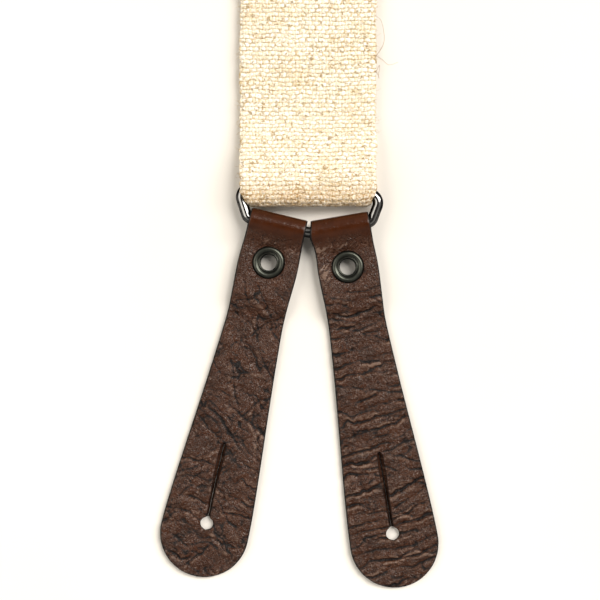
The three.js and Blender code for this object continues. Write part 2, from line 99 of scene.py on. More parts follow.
TAB_TOP_HALF = 7.95  # half width at the fold
TAB_WAIST = 28.0  # from a tab's top to where it starts to widen
TAB_END_HALF = 12.4  # half width and radius of the round end
TAB_FOLD_RADIUS = 2.45  # middle line of the leather round the wire
EYELET_HOLE = 2.65  # radius of the hole that is punched for an eyelet
TAB_GAP = 0.12  # between the two layers of a folded tab
TAIL_LENGTH = 22.5  # of the layer that is folded under
SLIT_LENGTH = 23.2
STRAP_MEET = 760.0  # from a front ring to the point where the strap axes meet
STRAP_CUT = 42.5  # from that point back to the straps' cut ends, which stay inside the patch
SPREAD = math.radians(18)  # between each front strap and the middle line
PATCH_SEAT = 3.5  # underside of the top leather over a strap's end
PATCH_LOW = 2.85  # and its face between the straps
STITCH_INSET = 3.0  # from the patch's edge to its stitching
PATCH_BORDER = 6.5  # how far in the patch's rings of points follow its edge
PATCH_RINGS = 26
HERO = "front_left"  # the end that the camera looks at

# ---------- places taken from the frame ----------

JOINTS = {j["name"]: j for j in frame["joints"]}
RING_Z = JOINTS["ring_swing_back"]["pos_m"][2] / MM


def level_frame(point, x_axis):
    """A frame with its origin on the surface below point, X level along x_axis and Z up."""
    x = Vector((x_axis[0], x_axis[1], 0)).normalized()
    y = Vector((-x.y, x.x, 0))
    m = Matrix((x, y, Vector((0, 0, 1)))).transposed().to_4x4()
    m.translation = Vector((point[0], point[1], 0))
    return m


def joint_frame(name):
    joint = JOINTS[name]
    return level_frame(joint["pos_m"], [-a for a in joint["axis"]])


def strap_frame(end):
    """Origin under the ring's bar, +Y along the strap towards the patch."""
    if end == "back":
        return joint_frame("ring_swing_back")
    along = Vector(JOINTS[f"adjuster_slide_{end}"]["axis"])
    middle = centre_of(f"adjuster_frame_{end}")
    down = (Vector(JOINTS[f"ring_swing_{end}"]["pos_m"]) - middle) @ along
    return level_frame(middle + along * down, (along.y, -along.x, 0))


def centre_of(node):
    """The middle of a CAD node's box, in metres."""
    low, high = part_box(node)
    return (Vector(low) + Vector(high)) / 2


# ---------- repeatable noise ----------


class Noise:
    """Smooth value noise from a seeded table."""

    def __init__(self, seed):
        self.table = np.random.RandomState(seed).uniform(-1, 1, (256, 256))

    def at(self, x, y):
        i, j = np.floor(x).astype(int), np.floor(y).astype(int)
        fx, fy = x - i, y - j
        fx, fy = fx * fx * (3 - 2 * fx), fy * fy * (3 - 2 * fy)
        t = self.table
        a = t[i % 256, j % 256] * (1 - fx) + t[(i + 1) % 256, j % 256] * fx
        b = t[i % 256, (j + 1) % 256] * (1 - fx) + t[(i + 1) % 256, (j + 1) % 256] * fx
        return a * (1 - fy) + b * fy

    def octaves(self, x, y, count=3):
        total = np.zeros(np.broadcast(x, y).shape)
        for k in range(count):
            total = total + self.at(x * 2**k + 17.3 * k, y * 2**k + 9.1 * k) * 0.5**k
        return total


def smooth(a, b, x):
    """0 where x is a, 1 where it is b, eased between them and level beyond."""
    t = np.clip((x - a) / (b - a), 0, 1)
    return t * t * (3 - 2 * t)


def bell(offset, width):
    """1 where offset is 0, dying away to both sides over the width."""
    return np.exp(-((offset / width) ** 2))


def unit(vectors):
    """The vectors in the rows of an array, made 1 long."""
    return vectors / np.linalg.norm(vectors, axis=1)[:, None]


def run_along(line):
    """Distance along a polyline at each of its points."""
    return np.concatenate([[0], np.cumsum(np.linalg.norm(np.diff(line, axis=0), axis=1))])


def turned(x, y, degrees):
    """The same places, measured along and across a direction so many degrees from X."""
    c, s = math.cos(math.radians(degrees)), math.sin(math.radians(degrees))
    return x * c + y * s, -x * s + y * c


# ---------- mesh helpers ----------


def add_object(name, data, place=None):
    """An object in the scene, set down by the matrix place."""
    obj = bpy.data.objects.new(name, data)
    bpy.context.scene.collection.objects.link(obj)
    if place is not None:
        obj.matrix_world = place
    return obj


def make_object(name, points, faces, material, attributes=None, smooth_shading=True, place=None):
    """A mesh object from points in millimetres, set down by the matrix place."""
    mesh = bpy.data.meshes.new(name)
    mesh.from_pydata([], [], [])
    points = np.asarray(points, float).reshape(-1, 3) * MM
    faces = [np.asarray(f, np.int32).reshape(len(f), -1) for f in faces if len(f)]
    sizes = np.concatenate([np.full(len(f), f.shape[1], np.int32) for f in faces])
    corners = np.concatenate([f.ravel() for f in faces])
    mesh.vertices.add(len(points))
    mesh.vertices.foreach_set("co", points.astype(np.float32).ravel())
    mesh.loops.add(len(corners))
    mesh.loops.foreach_set("vertex_index", corners)
    mesh.polygons.add(len(sizes))
    mesh.polygons.foreach_set("loop_start", np.concatenate([[0], np.cumsum(sizes)[:-1]]).astype(np.int32))
    mesh.polygons.foreach_set("use_smooth", np.full(len(sizes), smooth_shading))
    for key, values in (attributes or {}).items():
        values = np.asarray(values, np.float32)
        kind = "FLOAT" if values.ndim == 1 else "FLOAT_VECTOR"
        made = mesh.attributes.new(key, kind, "POINT")
        made.data.foreach_set("value" if values.ndim == 1 else "vector", values.ravel())
    mesh.update(calc_edges=True)
    mesh.validate()
    mesh.materials.append(material)
    return add_object(name, mesh, place)


def grid_faces(rows, columns, close_rows=False, close_columns=False):
    """Quads of a grid of points stored row by row."""
    r = np.arange(rows if close_rows else rows - 1)
    c = np.arange(columns if close_columns else columns - 1)
    r, c = [g.ravel() for g in np.meshgrid(r, c, indexing="ij")]
    r2, c2 = (r + 1) % rows, (c + 1) % columns
    return np.stack([r * columns + c, r * columns + c2, r2 * columns + c2, r2 * columns + c], 1)


def tube(points, radius, sides=8, taper=None):
    """Points and faces of a tube along a polyline, closed at both ends by a fan."""
    points = np.asarray(points, float)
    along = unit(np.gradient(points, axis=0))
    side = unit(np.cross(along, [0.3, 0.2, 1.0]))
    up = np.cross(side, along)
    radii = radius * (np.ones(len(points)) if taper is None else taper)
    angle = np.linspace(0, 2 * np.pi, sides, endpoint=False)
    angle = angle[None, :, None]
    ring = side[:, None] * np.cos(angle) + up[:, None] * np.sin(angle)
    body = points[:, None] + ring * radii[:, None, None]
    n = len(points) * sides
    every = np.vstack([body.reshape(-1, 3), points[:1], points[-1:]])
    k = np.arange(sides)
    first = np.stack([np.full(sides, n), (k + 1) % sides, k], 1)
    last = np.stack([np.full(sides, n + 1), n - sides + k, n - sides + (k + 1) % sides], 1)
    return every, grid_faces(len(points), sides, close_columns=True), np.vstack([first, last])


def many_tubes(name, lines, radius, material, sides, place, taper=None):
    """One object that holds a tube along each polyline."""
    points, quads, tris, count = [], [], [], 0
    for line in lines:
        p, q, t = tube(line, radius, sides, taper)
        points.append(p)
        quads.append(q + count)
        tris.append(t + count)
        count += len(p)
    faces = [np.vstack(quads), np.vstack(tris)]
    return make_object(name, np.vstack(points), faces, material, place=place)


def lathe(name, profile, segments, material, place, attributes):
    """A closed profile of (radius, height) points turned about Z."""
    profile = np.asarray(profile, float)
    angle = np.linspace(0, 2 * np.pi, segments, endpoint=False)
    r, z = profile[:, 0], profile[:, 1]
    x, y = np.outer(np.cos(angle), r), np.outer(np.sin(angle), r)
    points = np.stack([x, y, np.tile(z, (segments, 1))], 2)
    faces = grid_faces(segments, len(profile), True, True)
    values = {k: np.tile(v, segments) for k, v in attributes.items()}
    return make_object(name, points, [faces], material, values, place=place)


class Trace:
    """A line in the side view (y, z), drawn piece by piece as closely spaced points."""

    def __init__(self, y, z):
        self.points = [np.array([[y, z]], float)]

    @property
    def end(self):
        return self.points[-1][-1]

    def line(self, y, z):
        t = np.linspace(0, 1, 40)[1:, None]
        self.points.append(self.end * (1 - t) + np.array([y, z]) * t)
        return self

    def ramp(self, y, z):
        t = np.linspace(0, 1, 40)[1:]
        ease = t * t * (3 - 2 * t)
        start = self.end
        y_line, z_line = start[0] + (y - start[0]) * t, start[1] + (z - start[1]) * ease
        self.points.append(np.stack([y_line, z_line], 1))
        return self

    def arc(self, y, z, radius, start, stop):
        angle = np.radians(np.linspace(start, stop, 60)[1:])
        self.points.append(np.stack([y + radius * np.cos(angle), z + radius * np.sin(angle)], 1))
        return self

    def sampled(self, spacing):
        """Points as far apart as spacing(y) says at each place, and their distance along the line."""
        line = np.vstack(self.points)
        line = line[np.concatenate([[True], np.diff(run_along(line)) > 1e-9])]
        run = run_along(line)
        stops = [0.0]
        while stops[-1] < run[-1]:
            stops.append(stops[-1] + spacing(np.interp(stops[-1], run, line[:, 0])))
        stops = np.array(stops) * run[-1] / stops[-1]
        return np.stack([np.interp(stops, run, line[:, k]) for k in (0, 1)], 1), stops


def off_trace(across, line, normal, offset, lift=0.0):
    """Points beside a traced line: across it along X, and offset from it along its normals."""
    y = line[:, :1] + normal[:, :1] * offset
    z = line[:, 1:] + normal[:, 1:] * offset + lift
    return np.stack([across, y, z], 2)


# ---------- shader helpers ----------


class Tree:
    """A short way to write the nodes of a material or of the world."""

    def __init__(self, name, owners=bpy.data.materials, shader="Principled BSDF"):
        self.owner = owners.new(name)
        self.owner.use_nodes = True
        self.nodes = self.owner.node_tree.nodes
        self.links = self.owner.node_tree.links
        self.shader = self.nodes[shader]

    def set(self, socket, value):
        """Links an output to a socket, or stores a number or a colour there. None leaves it alone."""
        if hasattr(value, "is_output"):
            self.links.new(value, socket)
        elif value is not None:
            socket.default_value = (*value, 1.0) if isinstance(value, tuple) else value

    def node(self, kind, inputs, **settings):
        """A new node with its settings, and with its inputs set by name or number."""
        node = self.nodes.new(f"ShaderNode{kind}")
        for key, value in settings.items():
            setattr(node, key, value)
        for key, value in inputs.items():
            self.set(node.inputs[key], value)
        return node

    def math(self, operation, a, b=None, c=None, clamp=False):
        return self.node("Math", {0: a, 1: b, 2: c}, operation=operation, use_clamp=clamp).outputs[0]

    def times(self, first, *others):
        for other in others:
            first = self.math("MULTIPLY", first, other)
        return first

    def ease(self, value, low, high):
        """0 below low, 1 above high and smooth between. Falls instead where low is above high."""
        ends = {"Value": value, "From Min": low, "From Max": high}
        return self.node("MapRange", ends, interpolation_type="SMOOTHSTEP").outputs["Result"]

    def attribute(self, name, output="Fac"):
        return self.node("Attribute", {}, attribute_name=name).outputs[output]

    def coordinates(self, kind="Object"):
        return self.node("TexCoord", {}).outputs[kind]

    def split(self, vector):
        return self.node("SeparateXYZ", {0: vector}).outputs

    def join(self, x, y, z=0.0):
        return self.node("CombineXYZ", {0: x, 1: y, 2: z}).outputs[0]

    def noise(self, vector, scale, detail=3.0, roughness=0.55, distortion=0.0):
        inputs = {"Vector": vector, "Scale": scale, "Detail": detail}
        inputs.update({"Roughness": roughness, "Distortion": distortion})
        return self.node("TexNoise", inputs).outputs[0]

    def cells(self, vector, scale):
        """Distance to the nearest border between cells."""
        inputs = {"Vector": vector, "Scale": scale}
        return self.node("TexVoronoi", inputs, feature="DISTANCE_TO_EDGE").outputs["Distance"]

    def random(self, a, b, c=0.0):
        return self.node("TexWhiteNoise", {"Vector": self.join(a, b, c)}).outputs["Value"]

    def mix(self, share, a, b, blend="MIX"):
        return self.node("Mix", {0: share, 6: a, 7: b}, data_type="RGBA", blend_type=blend).outputs[2]

    def ramp(self, value, stops):
        """Colours along a value, from stops that are each a place and a colour."""
        node = self.node("ValToRGB", {0: value})
        elements = node.color_ramp.elements
        while len(elements) < len(stops):
            elements.new(0.5)
        for element, (place, colour) in zip(elements, stops):
            element.position, element.color = place, (*colour, 1.0)
        return node.outputs[0]

    def bump(self, height, distance, strength=1.0):
        inputs = {"Strength": strength, "Distance": distance, "Height": height}
        return self.node("Bump", inputs).outputs[0]

    def finish(self, **sockets):
        """The material or world, with its shader's sockets set by name."""
        for name, value in sockets.items():
            self.set(self.shader.inputs[name.replace("_", " ")], value)
        return self.owner


# ---------- materials ----------


def linen_material():
    """Plain weave in coarse flax: pale weft over tan warp, with slubs and brown flecks, and painted shade in
    the gaps between threads and rows.

    Reads "flat": millimetres across and along the webbing, and how near it is to the turn round the ring,
    where the shader paints shade."""
    t = Tree("coarse_linen")
    x, y, turn = t.split(t.attribute("flat", "Vector"))

    def place(across, along, layer):
        return t.join(t.times(x, across), t.times(y, along), layer)

    def stain(colour, source, low, high, amount, tint, blend="MULTIPLY"):
        return t.mix(t.times(t.ease(source, low, high), amount), colour, tint, blend)

    u, v = t.math("DIVIDE", x, WARP_PITCH), t.math("DIVIDE", y, WEFT_PITCH)
    i, j = t.math("FLOOR", u), t.math("FLOOR", v)
    fx, fy = t.math("SUBTRACT", u, i), t.math("SUBTRACT", v, j)
    step = t.math("ADD", u, j)
    lift = t.math("MULTIPLY_ADD", t.math("SINE", t.times(step, math.pi)), 0.5, 0.5)
    sink = t.math("SUBTRACT", 1.0, lift)
    round_x, round_y = (t.math("SINE", t.times(part, math.pi)) for part in (fx, fy))
    weft = t.times(t.math("POWER", lift, WEFT_ROUND), t.math("POWER", round_y, THREAD_ROUND))
    warp = t.times(t.math("POWER", sink, WARP_ROUND), round_x, WARP_HEIGHT)
    height = t.math("MAXIMUM", weft, warp)
    weft_wins = t.ease(t.math("SUBTRACT", weft, warp), -0.2, 0.2)

    float_index = t.math("FLOOR", t.times(step, 0.5))
    own = t.random(float_index, j)
    other = t.random(float_index, j, 5.0)
    weft_slub = t.noise(t.join(t.times(x, 0.22), t.times(j, 7.31), 1.7), 1.0, 2.0, 0.6)
    warp_slub = t.noise(t.join(t.times(i, 5.17), t.times(y, 0.22), 4.1), 1.0, 2.0, 0.6)
    weft_tone = t.math("MULTIPLY_ADD", own, 0.2, t.times(weft_slub, 0.8))
    warp_tone = t.math("MULTIPLY_ADD", other, 0.3, t.times(warp_slub, 0.7))
    weft_stops = [
        (0.2, (0.68, 0.56, 0.36)), (0.36, (0.9, 0.84, 0.67)),
        (0.5, (0.97, 0.95, 0.86)), (0.64, (1.0, 1.0, 0.97)),
    ]
    warp_stops = [(0.22, (0.46, 0.35, 0.18)), (0.42, (0.8, 0.69, 0.47)), (0.68, (0.97, 0.91, 0.74))]
    colour = t.mix(weft_wins, t.ramp(warp_tone, warp_stops), t.ramp(weft_tone, weft_stops))

    grit = t.noise(place(1.3, 1.9, 11.0), 1.5, 2.0, 0.6, 0.5)
    broad = t.noise(place(1.0, 1.0, 0.0), 0.11, 3.0, 0.6)
    fibre = t.noise(place(1.1, 2.6, 2.0), 1.5, 3.0, 0.7, 0.8)
    streaky = t.noise(place(1.0, 0.3, 19.0), 0.9, 3.0, 0.6, 0.4)
    pale = t.noise(place(1.6, 3.4, 6.0), 1.3, 2.0, 0.6)
    speck = t.noise(place(0.8, 1.0, 8.0), 1.15, 2.0, 0.55, 1.0)
    # Painted shade: darker colour along the gaps between weft rows.
    row_gap_shade = t.times(t.ease(grit, 0.3, 0.55), 0.9, t.ease(round_y, 0.78, 0.3))
    colour = t.mix(row_gap_shade, colour, t.mix(other, (0.5, 0.39, 0.2), (0.82, 0.7, 0.46)))
    # Painted shade: darker colour down in the gaps between threads, where the weave is low.
    thread_gap_shade = t.mix(own, (0.34, 0.25, 0.11), (0.7, 0.57, 0.34))
    colour = t.mix(t.ease(height, 0.0, 0.5), thread_gap_shade, colour)
    colour = stain(colour, broad, 0.48, 0.72, 0.4, (0.88, 0.72, 0.47))
    colour = stain(colour, fibre, 0.46, 0.68, 0.5, (0.68, 0.5, 0.28))
    colour = stain(colour, grit, 0.52, 0.7, 0.55, (0.74, 0.53, 0.28))
    clustered = t.times(t.ease(streaky, 0.5, 0.66), t.ease(grit, 0.4, 0.6), 0.6)
    colour = t.mix(clustered, colour, (0.78, 0.6, 0.34), "MULTIPLY")
    colour = stain(colour, pale, 0.48, 0.64, 0.7, (1.0, 1.0, 1.0), "MIX")
    colour = stain(colour, speck, 0.595, 0.65, 0.8, (0.34, 0.23, 0.1), "MIX")
    # Painted shade: the webbing darkens, in patches, where it turns down round the ring.
    painted_light_share = t.times(turn, t.ease(fibre, 0.3, 0.62), 0.8)
    colour = t.mix(painted_light_share, colour, (0.6, 0.43, 0.25), "MULTIPLY")
    normal = t.bump(t.math("ADD", height, t.times(fibre, 0.7)), 0.26 * MM, 0.8)
    sheen = {"Sheen_Weight": 0.1, "Specular_IOR_Level": 0.12}
    return t.finish(Base_Color=colour, Roughness=0.92, Normal=normal, **sheen)


def leather_material(name, base, ridge, valley, pulled):
    """Dark drummed leather, with painted highlight specks and ridges, and painted shade in the hollows of its
    grain and in its creases.

    Reads "flat" (place in millimetres), "crease" (depth in the folds, darkened as painted shade, and
    lightened as painted highlight where below 0), "rim" (the cut edge) and "top" (the smooth fold)."""
    t = Tree(name)
    place = t.attribute("flat", "Vector")
    crease, rim, top = [t.attribute(field) for field in ("crease", "rim", "top")]
    patchy = t.noise(place, 0.2, 4.0, 0.6)
    reddish = t.noise(place, 0.33, 3.0, 0.6)
    pebble = t.noise(place, 1.5, 1.5, 0.5, 0.6)
    crinkle = t.noise(place, 0.55, 2.0, 0.55, 1.4)
    open_side = t.math("SUBTRACT", 1.0, t.times(top, 0.85))

    colour = t.mix(t.ease(patchy, 0.35, 0.7), base, tuple(0.6 * c for c in base))
    colour = t.mix(t.times(t.ease(reddish, 0.5, 0.75), 0.5), colour, pulled)
    # Painted highlight: light specks on the grain, where it would catch the light.
    painted_light_share = t.times(t.ease(pebble, 0.52, 0.7), t.ease(crinkle, 0.42, 0.66), open_side, 0.35)
    colour = t.mix(painted_light_share, colour, ridge)
    # Painted shade: the hollows of the grain are darkened.
    pore_shade = t.times(t.ease(pebble, 0.47, 0.3), open_side, 0.6)
    colour = t.mix(pore_shade, colour, valley)
    # Painted shade: the creases are darkened towards the near-black valley colour.
    colour = t.mix(t.ease(crease, 0.08, 0.5), colour, valley)
    # Painted highlight: the ridges beside the folds, and the streaks and sheen that tab_surface adds to the
    # crease field, are lightened.
    fold_edge_highlight = t.times(t.ease(t.times(crease, -1.0), 0.05, 0.55), 0.6)
    colour = t.mix(fold_edge_highlight, colour, ridge)
    streak = t.times(t.ease(reddish, 0.35, 0.7), 0.5)
    colour = t.mix(top, colour, t.mix(streak, pulled, tuple(0.45 * c for c in pulled)))
    colour = t.mix(t.ease(rim, 0.15, 0.6), colour, (0.004, 0.003, 0.003))

    rough = t.math("MULTIPLY_ADD", patchy, 0.3, 0.08, clamp=True)
    rough = t.math("MULTIPLY_ADD", t.ease(crease, 0.05, 0.3), 0.3, rough, clamp=True)
    rough = t.math("MULTIPLY_ADD", rim, 0.5, rough, clamp=True)
    pits = t.ease(t.cells(place, 1.35), 0.0, 0.22)
    ridged = t.math("ABSOLUTE", t.math("MULTIPLY_ADD", crinkle, 2.0, -1.0))
    grain = t.math("MULTIPLY_ADD", ridged, 1.8, t.times(pebble, 0.5))
    height = t.times(t.math("ADD", t.times(pits, 0.3), grain), open_side)
    normal = t.bump(height, 0.2 * MM)
    return t.finish(Base_Color=colour, Roughness=rough, Normal=normal, Specular_IOR_Level=0.28)


def metal_material(name, dark, light, rough_low, rough_high, scratch):
    """Plated metal with cloudy tone, fine scratches and a little pitting. The attribute read below brightens
    rims and crowns, partly polished by use and partly painted highlight.
    """
    t = Tree(name)
    to_millimetres = {0: t.coordinates(), "Scale": 1 / MM}
    place = t.node("VectorMath", to_millimetres, operation="SCALE").outputs[0]
    cloud = t.noise(place, 0.35, 4.0, 0.6)
    # The attribute lightens crowns and rims: partly polish from use, partly painted highlight.
    share = t.math("ADD", t.times(t.ease(cloud, 0.35, 0.7), 0.35), t.attribute("polish_and_highlight"), clamp=True)
    x, y, z = t.split(place)
    drawn_out = t.join(t.times(x, 0.3), t.times(y, 6.0), t.times(z, 6.0))
    lines = t.noise(drawn_out, 1.0, 3.0, 0.7)
    pits = t.noise(place, 5.0, 3.0, 0.6)
    rough = t.math("MULTIPLY_ADD", lines, rough_high - rough_low, rough_low)
    normal = t.bump(t.math("ADD", lines, pits), scratch * MM, 0.35)
    surface = {"Roughness": rough, "Metallic": 1.0, "Specular_Tint": (0.15, 0.15, 0.15)}
    return t.finish(Base_Color=t.mix(share, dark, light), Normal=normal, **surface)


def thread_material(name, colour, dark):
    """Waxed twisted thread."""
    t = Tree(name)
    place = t.coordinates()
    twist = {"Vector": place, "Scale": 900.0, "Distortion": 2.0}
    bands = t.node("TexWave", twist, bands_direction="DIAGONAL").outputs["Fac"]
    shade = t.times(bands, t.ease(t.noise(place, 700.0, 2.0), 0.2, 0.8))
    return t.finish(Base_Color=t.mix(shade, dark, colour), Roughness=0.6, Normal=t.bump(bands, 0.06 * MM))


def floor_material():
    """Matt off-white paper with the faintest mottling."""
    t = Tree("white_surface")
    tone = t.ease(t.noise(t.coordinates(), 5.0, 3.0, 0.5), 0.35, 0.65)
    return t.finish(Base_Color=t.mix(tone, (0.84, 0.82, 0.785), (0.8, 0.775, 0.74)), Roughness=0.9)


# ---------- webbing ----------

WEAVE_WOBBLE = Noise(11)
WEAVE_SLUB = Noise(12)


def weave_place(x, y):
    """Where a point falls in the weave, with the threads a little out of line."""
    v = y + 0.28 * WEAVE_WOBBLE.octaves(x / 9 + 40, y / 30 + 7, 3)
    v = v + 0.24 * WEAVE_WOBBLE.octaves(x / 1.6, y / 2.0, 2)
    row = np.floor(v / WEFT_PITCH)
    u = x + 0.16 * WEAVE_WOBBLE.octaves(x / 7, y / 9, 2) + 0.24 * WEAVE_WOBBLE.at(row * 3.7, x / 6)
    return u, v


def weave_height(u, v):
    """The same relief that the linen's shader draws, from 0 in the gaps to 1 on a weft."""
    j = np.floor(v / WEFT_PITCH)
    fy, fx = v / WEFT_PITCH - j, (u / WARP_PITCH) % 1
    lift = 0.5 + 0.5 * np.sin(np.pi * (u / WARP_PITCH + j))
    weft = lift**WEFT_ROUND * np.sin(np.pi * fy) ** THREAD_ROUND
    warp = WARP_HEIGHT * (1 - lift) ** WARP_ROUND * np.sin(np.pi * fx)
    return np.maximum(weft, warp) * (0.85 + 0.4 * WEAVE_SLUB.octaves(u / 1.7, j * 3.7, 2))


def webbing_strip(name, trace, halves, spacing, relief, place, start=0.0):
    """A closed strip of webbing along a side-view trace, whose outer face is woven.

    halves(y) gives the widths left and right of the axis, spacing(y) the distance between rows,
    relief(y) the share of the weave that is real geometry there."""
    line, run = trace.sampled(spacing)
    along = unit(np.gradient(line, axis=0))
    normal = np.stack([-along[:, 1], along[:, 0]], 1)
    if normal[0, 1] < 0:
        normal = -normal
    top_columns, low_columns = 148, 22
    share = np.concatenate([np.linspace(-1, 1, top_columns), np.linspace(1, -1, low_columns)])
    left, right = (half[:, None] for half in halves(line[:, 0]))
    x = np.where(share < 0, share * left, share * right)
    y_run = np.repeat(run[:, None] + start, len(share), 1)
    u, v = weave_place(x, y_run)
    amount = relief(line[:, 0])[:, None]
    # turn is 1 where the webbing turns round the ring: it makes the weave slubbier there, and the shader
    # paints shade there.
    turn = smooth(5.5, -1.5, line[:, 0])[:, None] * np.ones_like(x)
    swell = 0.12 * WEAVE_SLUB.octaves(x / 11, y_run / 13, 2)
    swell = swell + 0.3 * turn * WEAVE_SLUB.octaves(x / 1.9, y_run / 1.6, 2)
    shoulder = 0.5 * (1 - smooth(0, 1.3, np.minimum(left, right) * (1 - np.abs(share))))
    woven = WEAVE_RELIEF * (weave_height(u, v) - 0.5) * amount
    outer = WEB_THICK / 2 - 0.12 + woven + swell * 0.5 - shoulder
    inner = -WEB_THICK / 2 + 0.06 + shoulder
    offset = np.where(np.arange(len(share)) < top_columns, outer, inner)
    scallop = np.sin(np.pi * v / WEFT_PITCH + np.where(share < 0, 0, np.pi))
    ragged = 0.22 * WEAVE_SLUB.octaves(share * 3, y_run / 4, 2) + 0.1 * WEAVE_SLUB.at(share * 3, y_run / 0.9)
    x = x + np.sign(share) * smooth(0.93, 1, np.abs(share)) * (0.13 * scallop + ragged)
    rows, columns = x.shape
    faces = grid_faces(rows, columns, close_columns=True)[:, ::-1]
    first_end = np.arange(columns)[None, :]
    last_end = first_end[:, ::-1] + (rows - 1) * columns
    flat = np.stack([u, v, turn], 2).reshape(-1, 3)
    points = off_trace(x, line, normal, offset)
    obj = make_object(name, points, [faces, first_end, last_end], LINEN, {"flat": flat}, place=place)
    return obj


def narrowed(left_low, right_low):
    """Widths of a strap that is squeezed by the ring where it turns."""

    def halves(y):
        ease = smooth(-4.1, 0.8, y)
        return left_low + (WEB_HALF - left_low) * ease, right_low + (WEB_HALF - right_low) * ease

    return halves


def mitred(halves, side):
    """The same widths, cut along the centre line inside the back patch."""

    def cut(y):
        left, right = halves(y)
        room = np.maximum((STRAP_MEET - y) * math.tan(SPREAD) - 0.16, 2.0)
        if side < 0:
            return left, np.minimum(right, room)
        return np.minimum(left, room), right

    return cut


def loop_trace(trace):
    """Down on to the ring, round its bar, and a little way back underneath."""
    trace.line(22, FLAT_Z).ramp(1.5, RING_Z + LOOP_RADIUS).line(-LOOP_SLACK, RING_Z + LOOP_RADIUS)
    trace.arc(-LOOP_SLACK, RING_Z, LOOP_RADIUS, 90, 270)
    return trace.line(0, RING_Z - LOOP_RADIUS).ramp(10, FLOOR_Z)


def even_width(half):
    """The same width left and right of the axis all along."""
    return lambda y: (np.full_like(y, half), np.full_like(y, half))


def fine_near_ring(y):
    """Distance between rows: close where the camera looks, wide beyond."""
    return 0.28 if y < 66 else 3.5


def relief_near_ring(y):
    """Near the ring the weave is real geometry, and beyond it only the shader's."""
    return 1 - smooth(58, 66, y)


def front_webbing(end):
    """The strap from patch to ring, its return to the adjuster, and the hump over the adjuster."""
    place = strap_frame(end)
    side = -1 if end == "front_left" else 1
    squeeze = narrowed(16.6, 17.5) if end == HERO else narrowed(17.5, 16.6)
    main = loop_trace(Trace(STRAP_MEET - STRAP_CUT, FLAT_Z)).line(24, FLOOR_Z)
    widths = mitred(squeeze, side)
    strap = webbing_strip(f"webbing_{end}", main, widths, fine_near_ring, relief_near_ring, place)
    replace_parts(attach(strap, "straps"), f"strap_{end}")

    frame_mid = (place.inverted() @ centre_of(f"adjuster_frame_{end}")).y / MM
    low_bar = frame_mid - LOW_BAR
    back = Trace(22, FLOOR_Z - 0.02).line(low_bar, FLOOR_Z - 0.02)
    back.arc(low_bar, FLOOR_Z + 1.68, 1.7, -90, 90).line(low_bar - 14.3, FLOOR_Z + 3.38)
    name = f"webbing_return_{end}"
    returning = webbing_strip(name, back, even_width(WEB_HALF - 0.75), lambda y: 2.0, np.zeros_like, place)
    returning.data.transform(returning.matrix_world)
    returning.matrix_world = Matrix.Identity(4)
    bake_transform(returning)

    first_y, over_bar, over_return = frame_mid + 27, 4.25, 6.15
    hump = Trace(first_y, FLAT_Z + 0.04).ramp(frame_mid + 10, over_bar).line(frame_mid + 2, over_bar)
    hump.ramp(frame_mid - 7, over_return).line(frame_mid - 22, over_return)
    hump.ramp(frame_mid - 42, FLAT_Z + 0.04)
    name, run = f"webbing_over_adjuster_{end}", STRAP_MEET - STRAP_CUT - first_y
    over = webbing_strip(name, hump, even_width(WEB_HALF + 0.05), lambda y: 1.2, np.zeros_like, place, run)
    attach(over, f"adjuster_{end}")


def back_webbing():
    """The short back strap, turned round its ring and sewn down on itself."""
    place = strap_frame("back")
    cut_end, leaves_patch, patch_z = 171, 136, 2.4
    trace = Trace(cut_end, patch_z).line(leaves_patch, patch_z).ramp(122, FLOOR_Z).line(61, FLOOR_Z)
    loop_trace(trace.ramp(47, FLAT_Z)).line(46, FLOOR_Z)
    widths = narrowed(17.0, 17.0)
    strap = webbing_strip("webbing_back", trace, widths, fine_near_ring, relief_near_ring, place)
    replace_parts(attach(strap, "straps"), "strap_back")
    rows, seam_half, seam_z = [], 17.2, 3.28
    for y in (36.0, 39.0):
        rows += stitch_row([[-seam_half, y, seam_z], [seam_half, y, seam_z]], 2.3, 0.7)
    stitches = many_tubes("back_loop_stitches", rows, 0.24, THREAD, 6, place)
    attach(stitches, "straps")


def fuzz(end, count, seed):
    """Loose flax fibres that stand off the webbing's edges and face."""
    random = np.random.RandomState(seed)
    lines = []
    for _ in range(count):
        on_edge = random.rand() < 0.62
        side = random.choice([-1, 1])
        x = side * (WEB_HALF - 0.2) if on_edge else random.uniform(-18, 18)
        y = random.uniform(-2, 62)
        surface = random.uniform(2.2, 3.0) if on_edge else 3.15 + 3.4 * (1 - smooth(1.5, 20, y))
        if on_edge and y < 4:
            continue
        if on_edge:
            heading = random.uniform(-1.3, 1.3) + (0 if side > 0 else np.pi)
        else:
            heading = random.uniform(0, 2 * np.pi)
        length = random.uniform(0.7, 2.6) * (0.9 if on_edge else 0.75)
        lines.append(curl(random, (x, y, surface), heading, length, 0.35 if on_edge else 0.25))
    place = strap_frame(end)
    piece = many_tubes(f"loose_fibres_{end}", lines, 0.045, FIBRE, 4, place, np.linspace(1, 0.35, 9))
    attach(piece, "straps")
    # The few long ones beside the hero's strap. The other ends have copies of three of them.
    long = [
        bent([(18.7, 38.4, 2.9), (20.6, 37.2, 3.3), (22.6, 35.7, 3.0), (25.2, 36.6, 2.0)]),
        bent([(18.6, 34.0, 2.8), (19.4, 33.2, 3.2), (19.9, 31.9, 2.9)]),
        bent([(18.8, 33.4, 2.6), (20.0, 35.6, 2.8), (19.6, 32.0, 2.6)]),
        bent([(18.8, 37.8, 2.6), (21.2, 42.0, 3.4), (20.6, 47.6, 3.0), (18.9, 49.6, 2.5)]),
    ]
    if end != HERO:
        long = [line * [-1, 0.8, 1] for line in long[:3]]
    hair = many_tubes(f"long_fibres_{end}", long, 0.07, HAIR, 5, place, np.linspace(1, 0.5, 25))
    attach(hair, "straps")


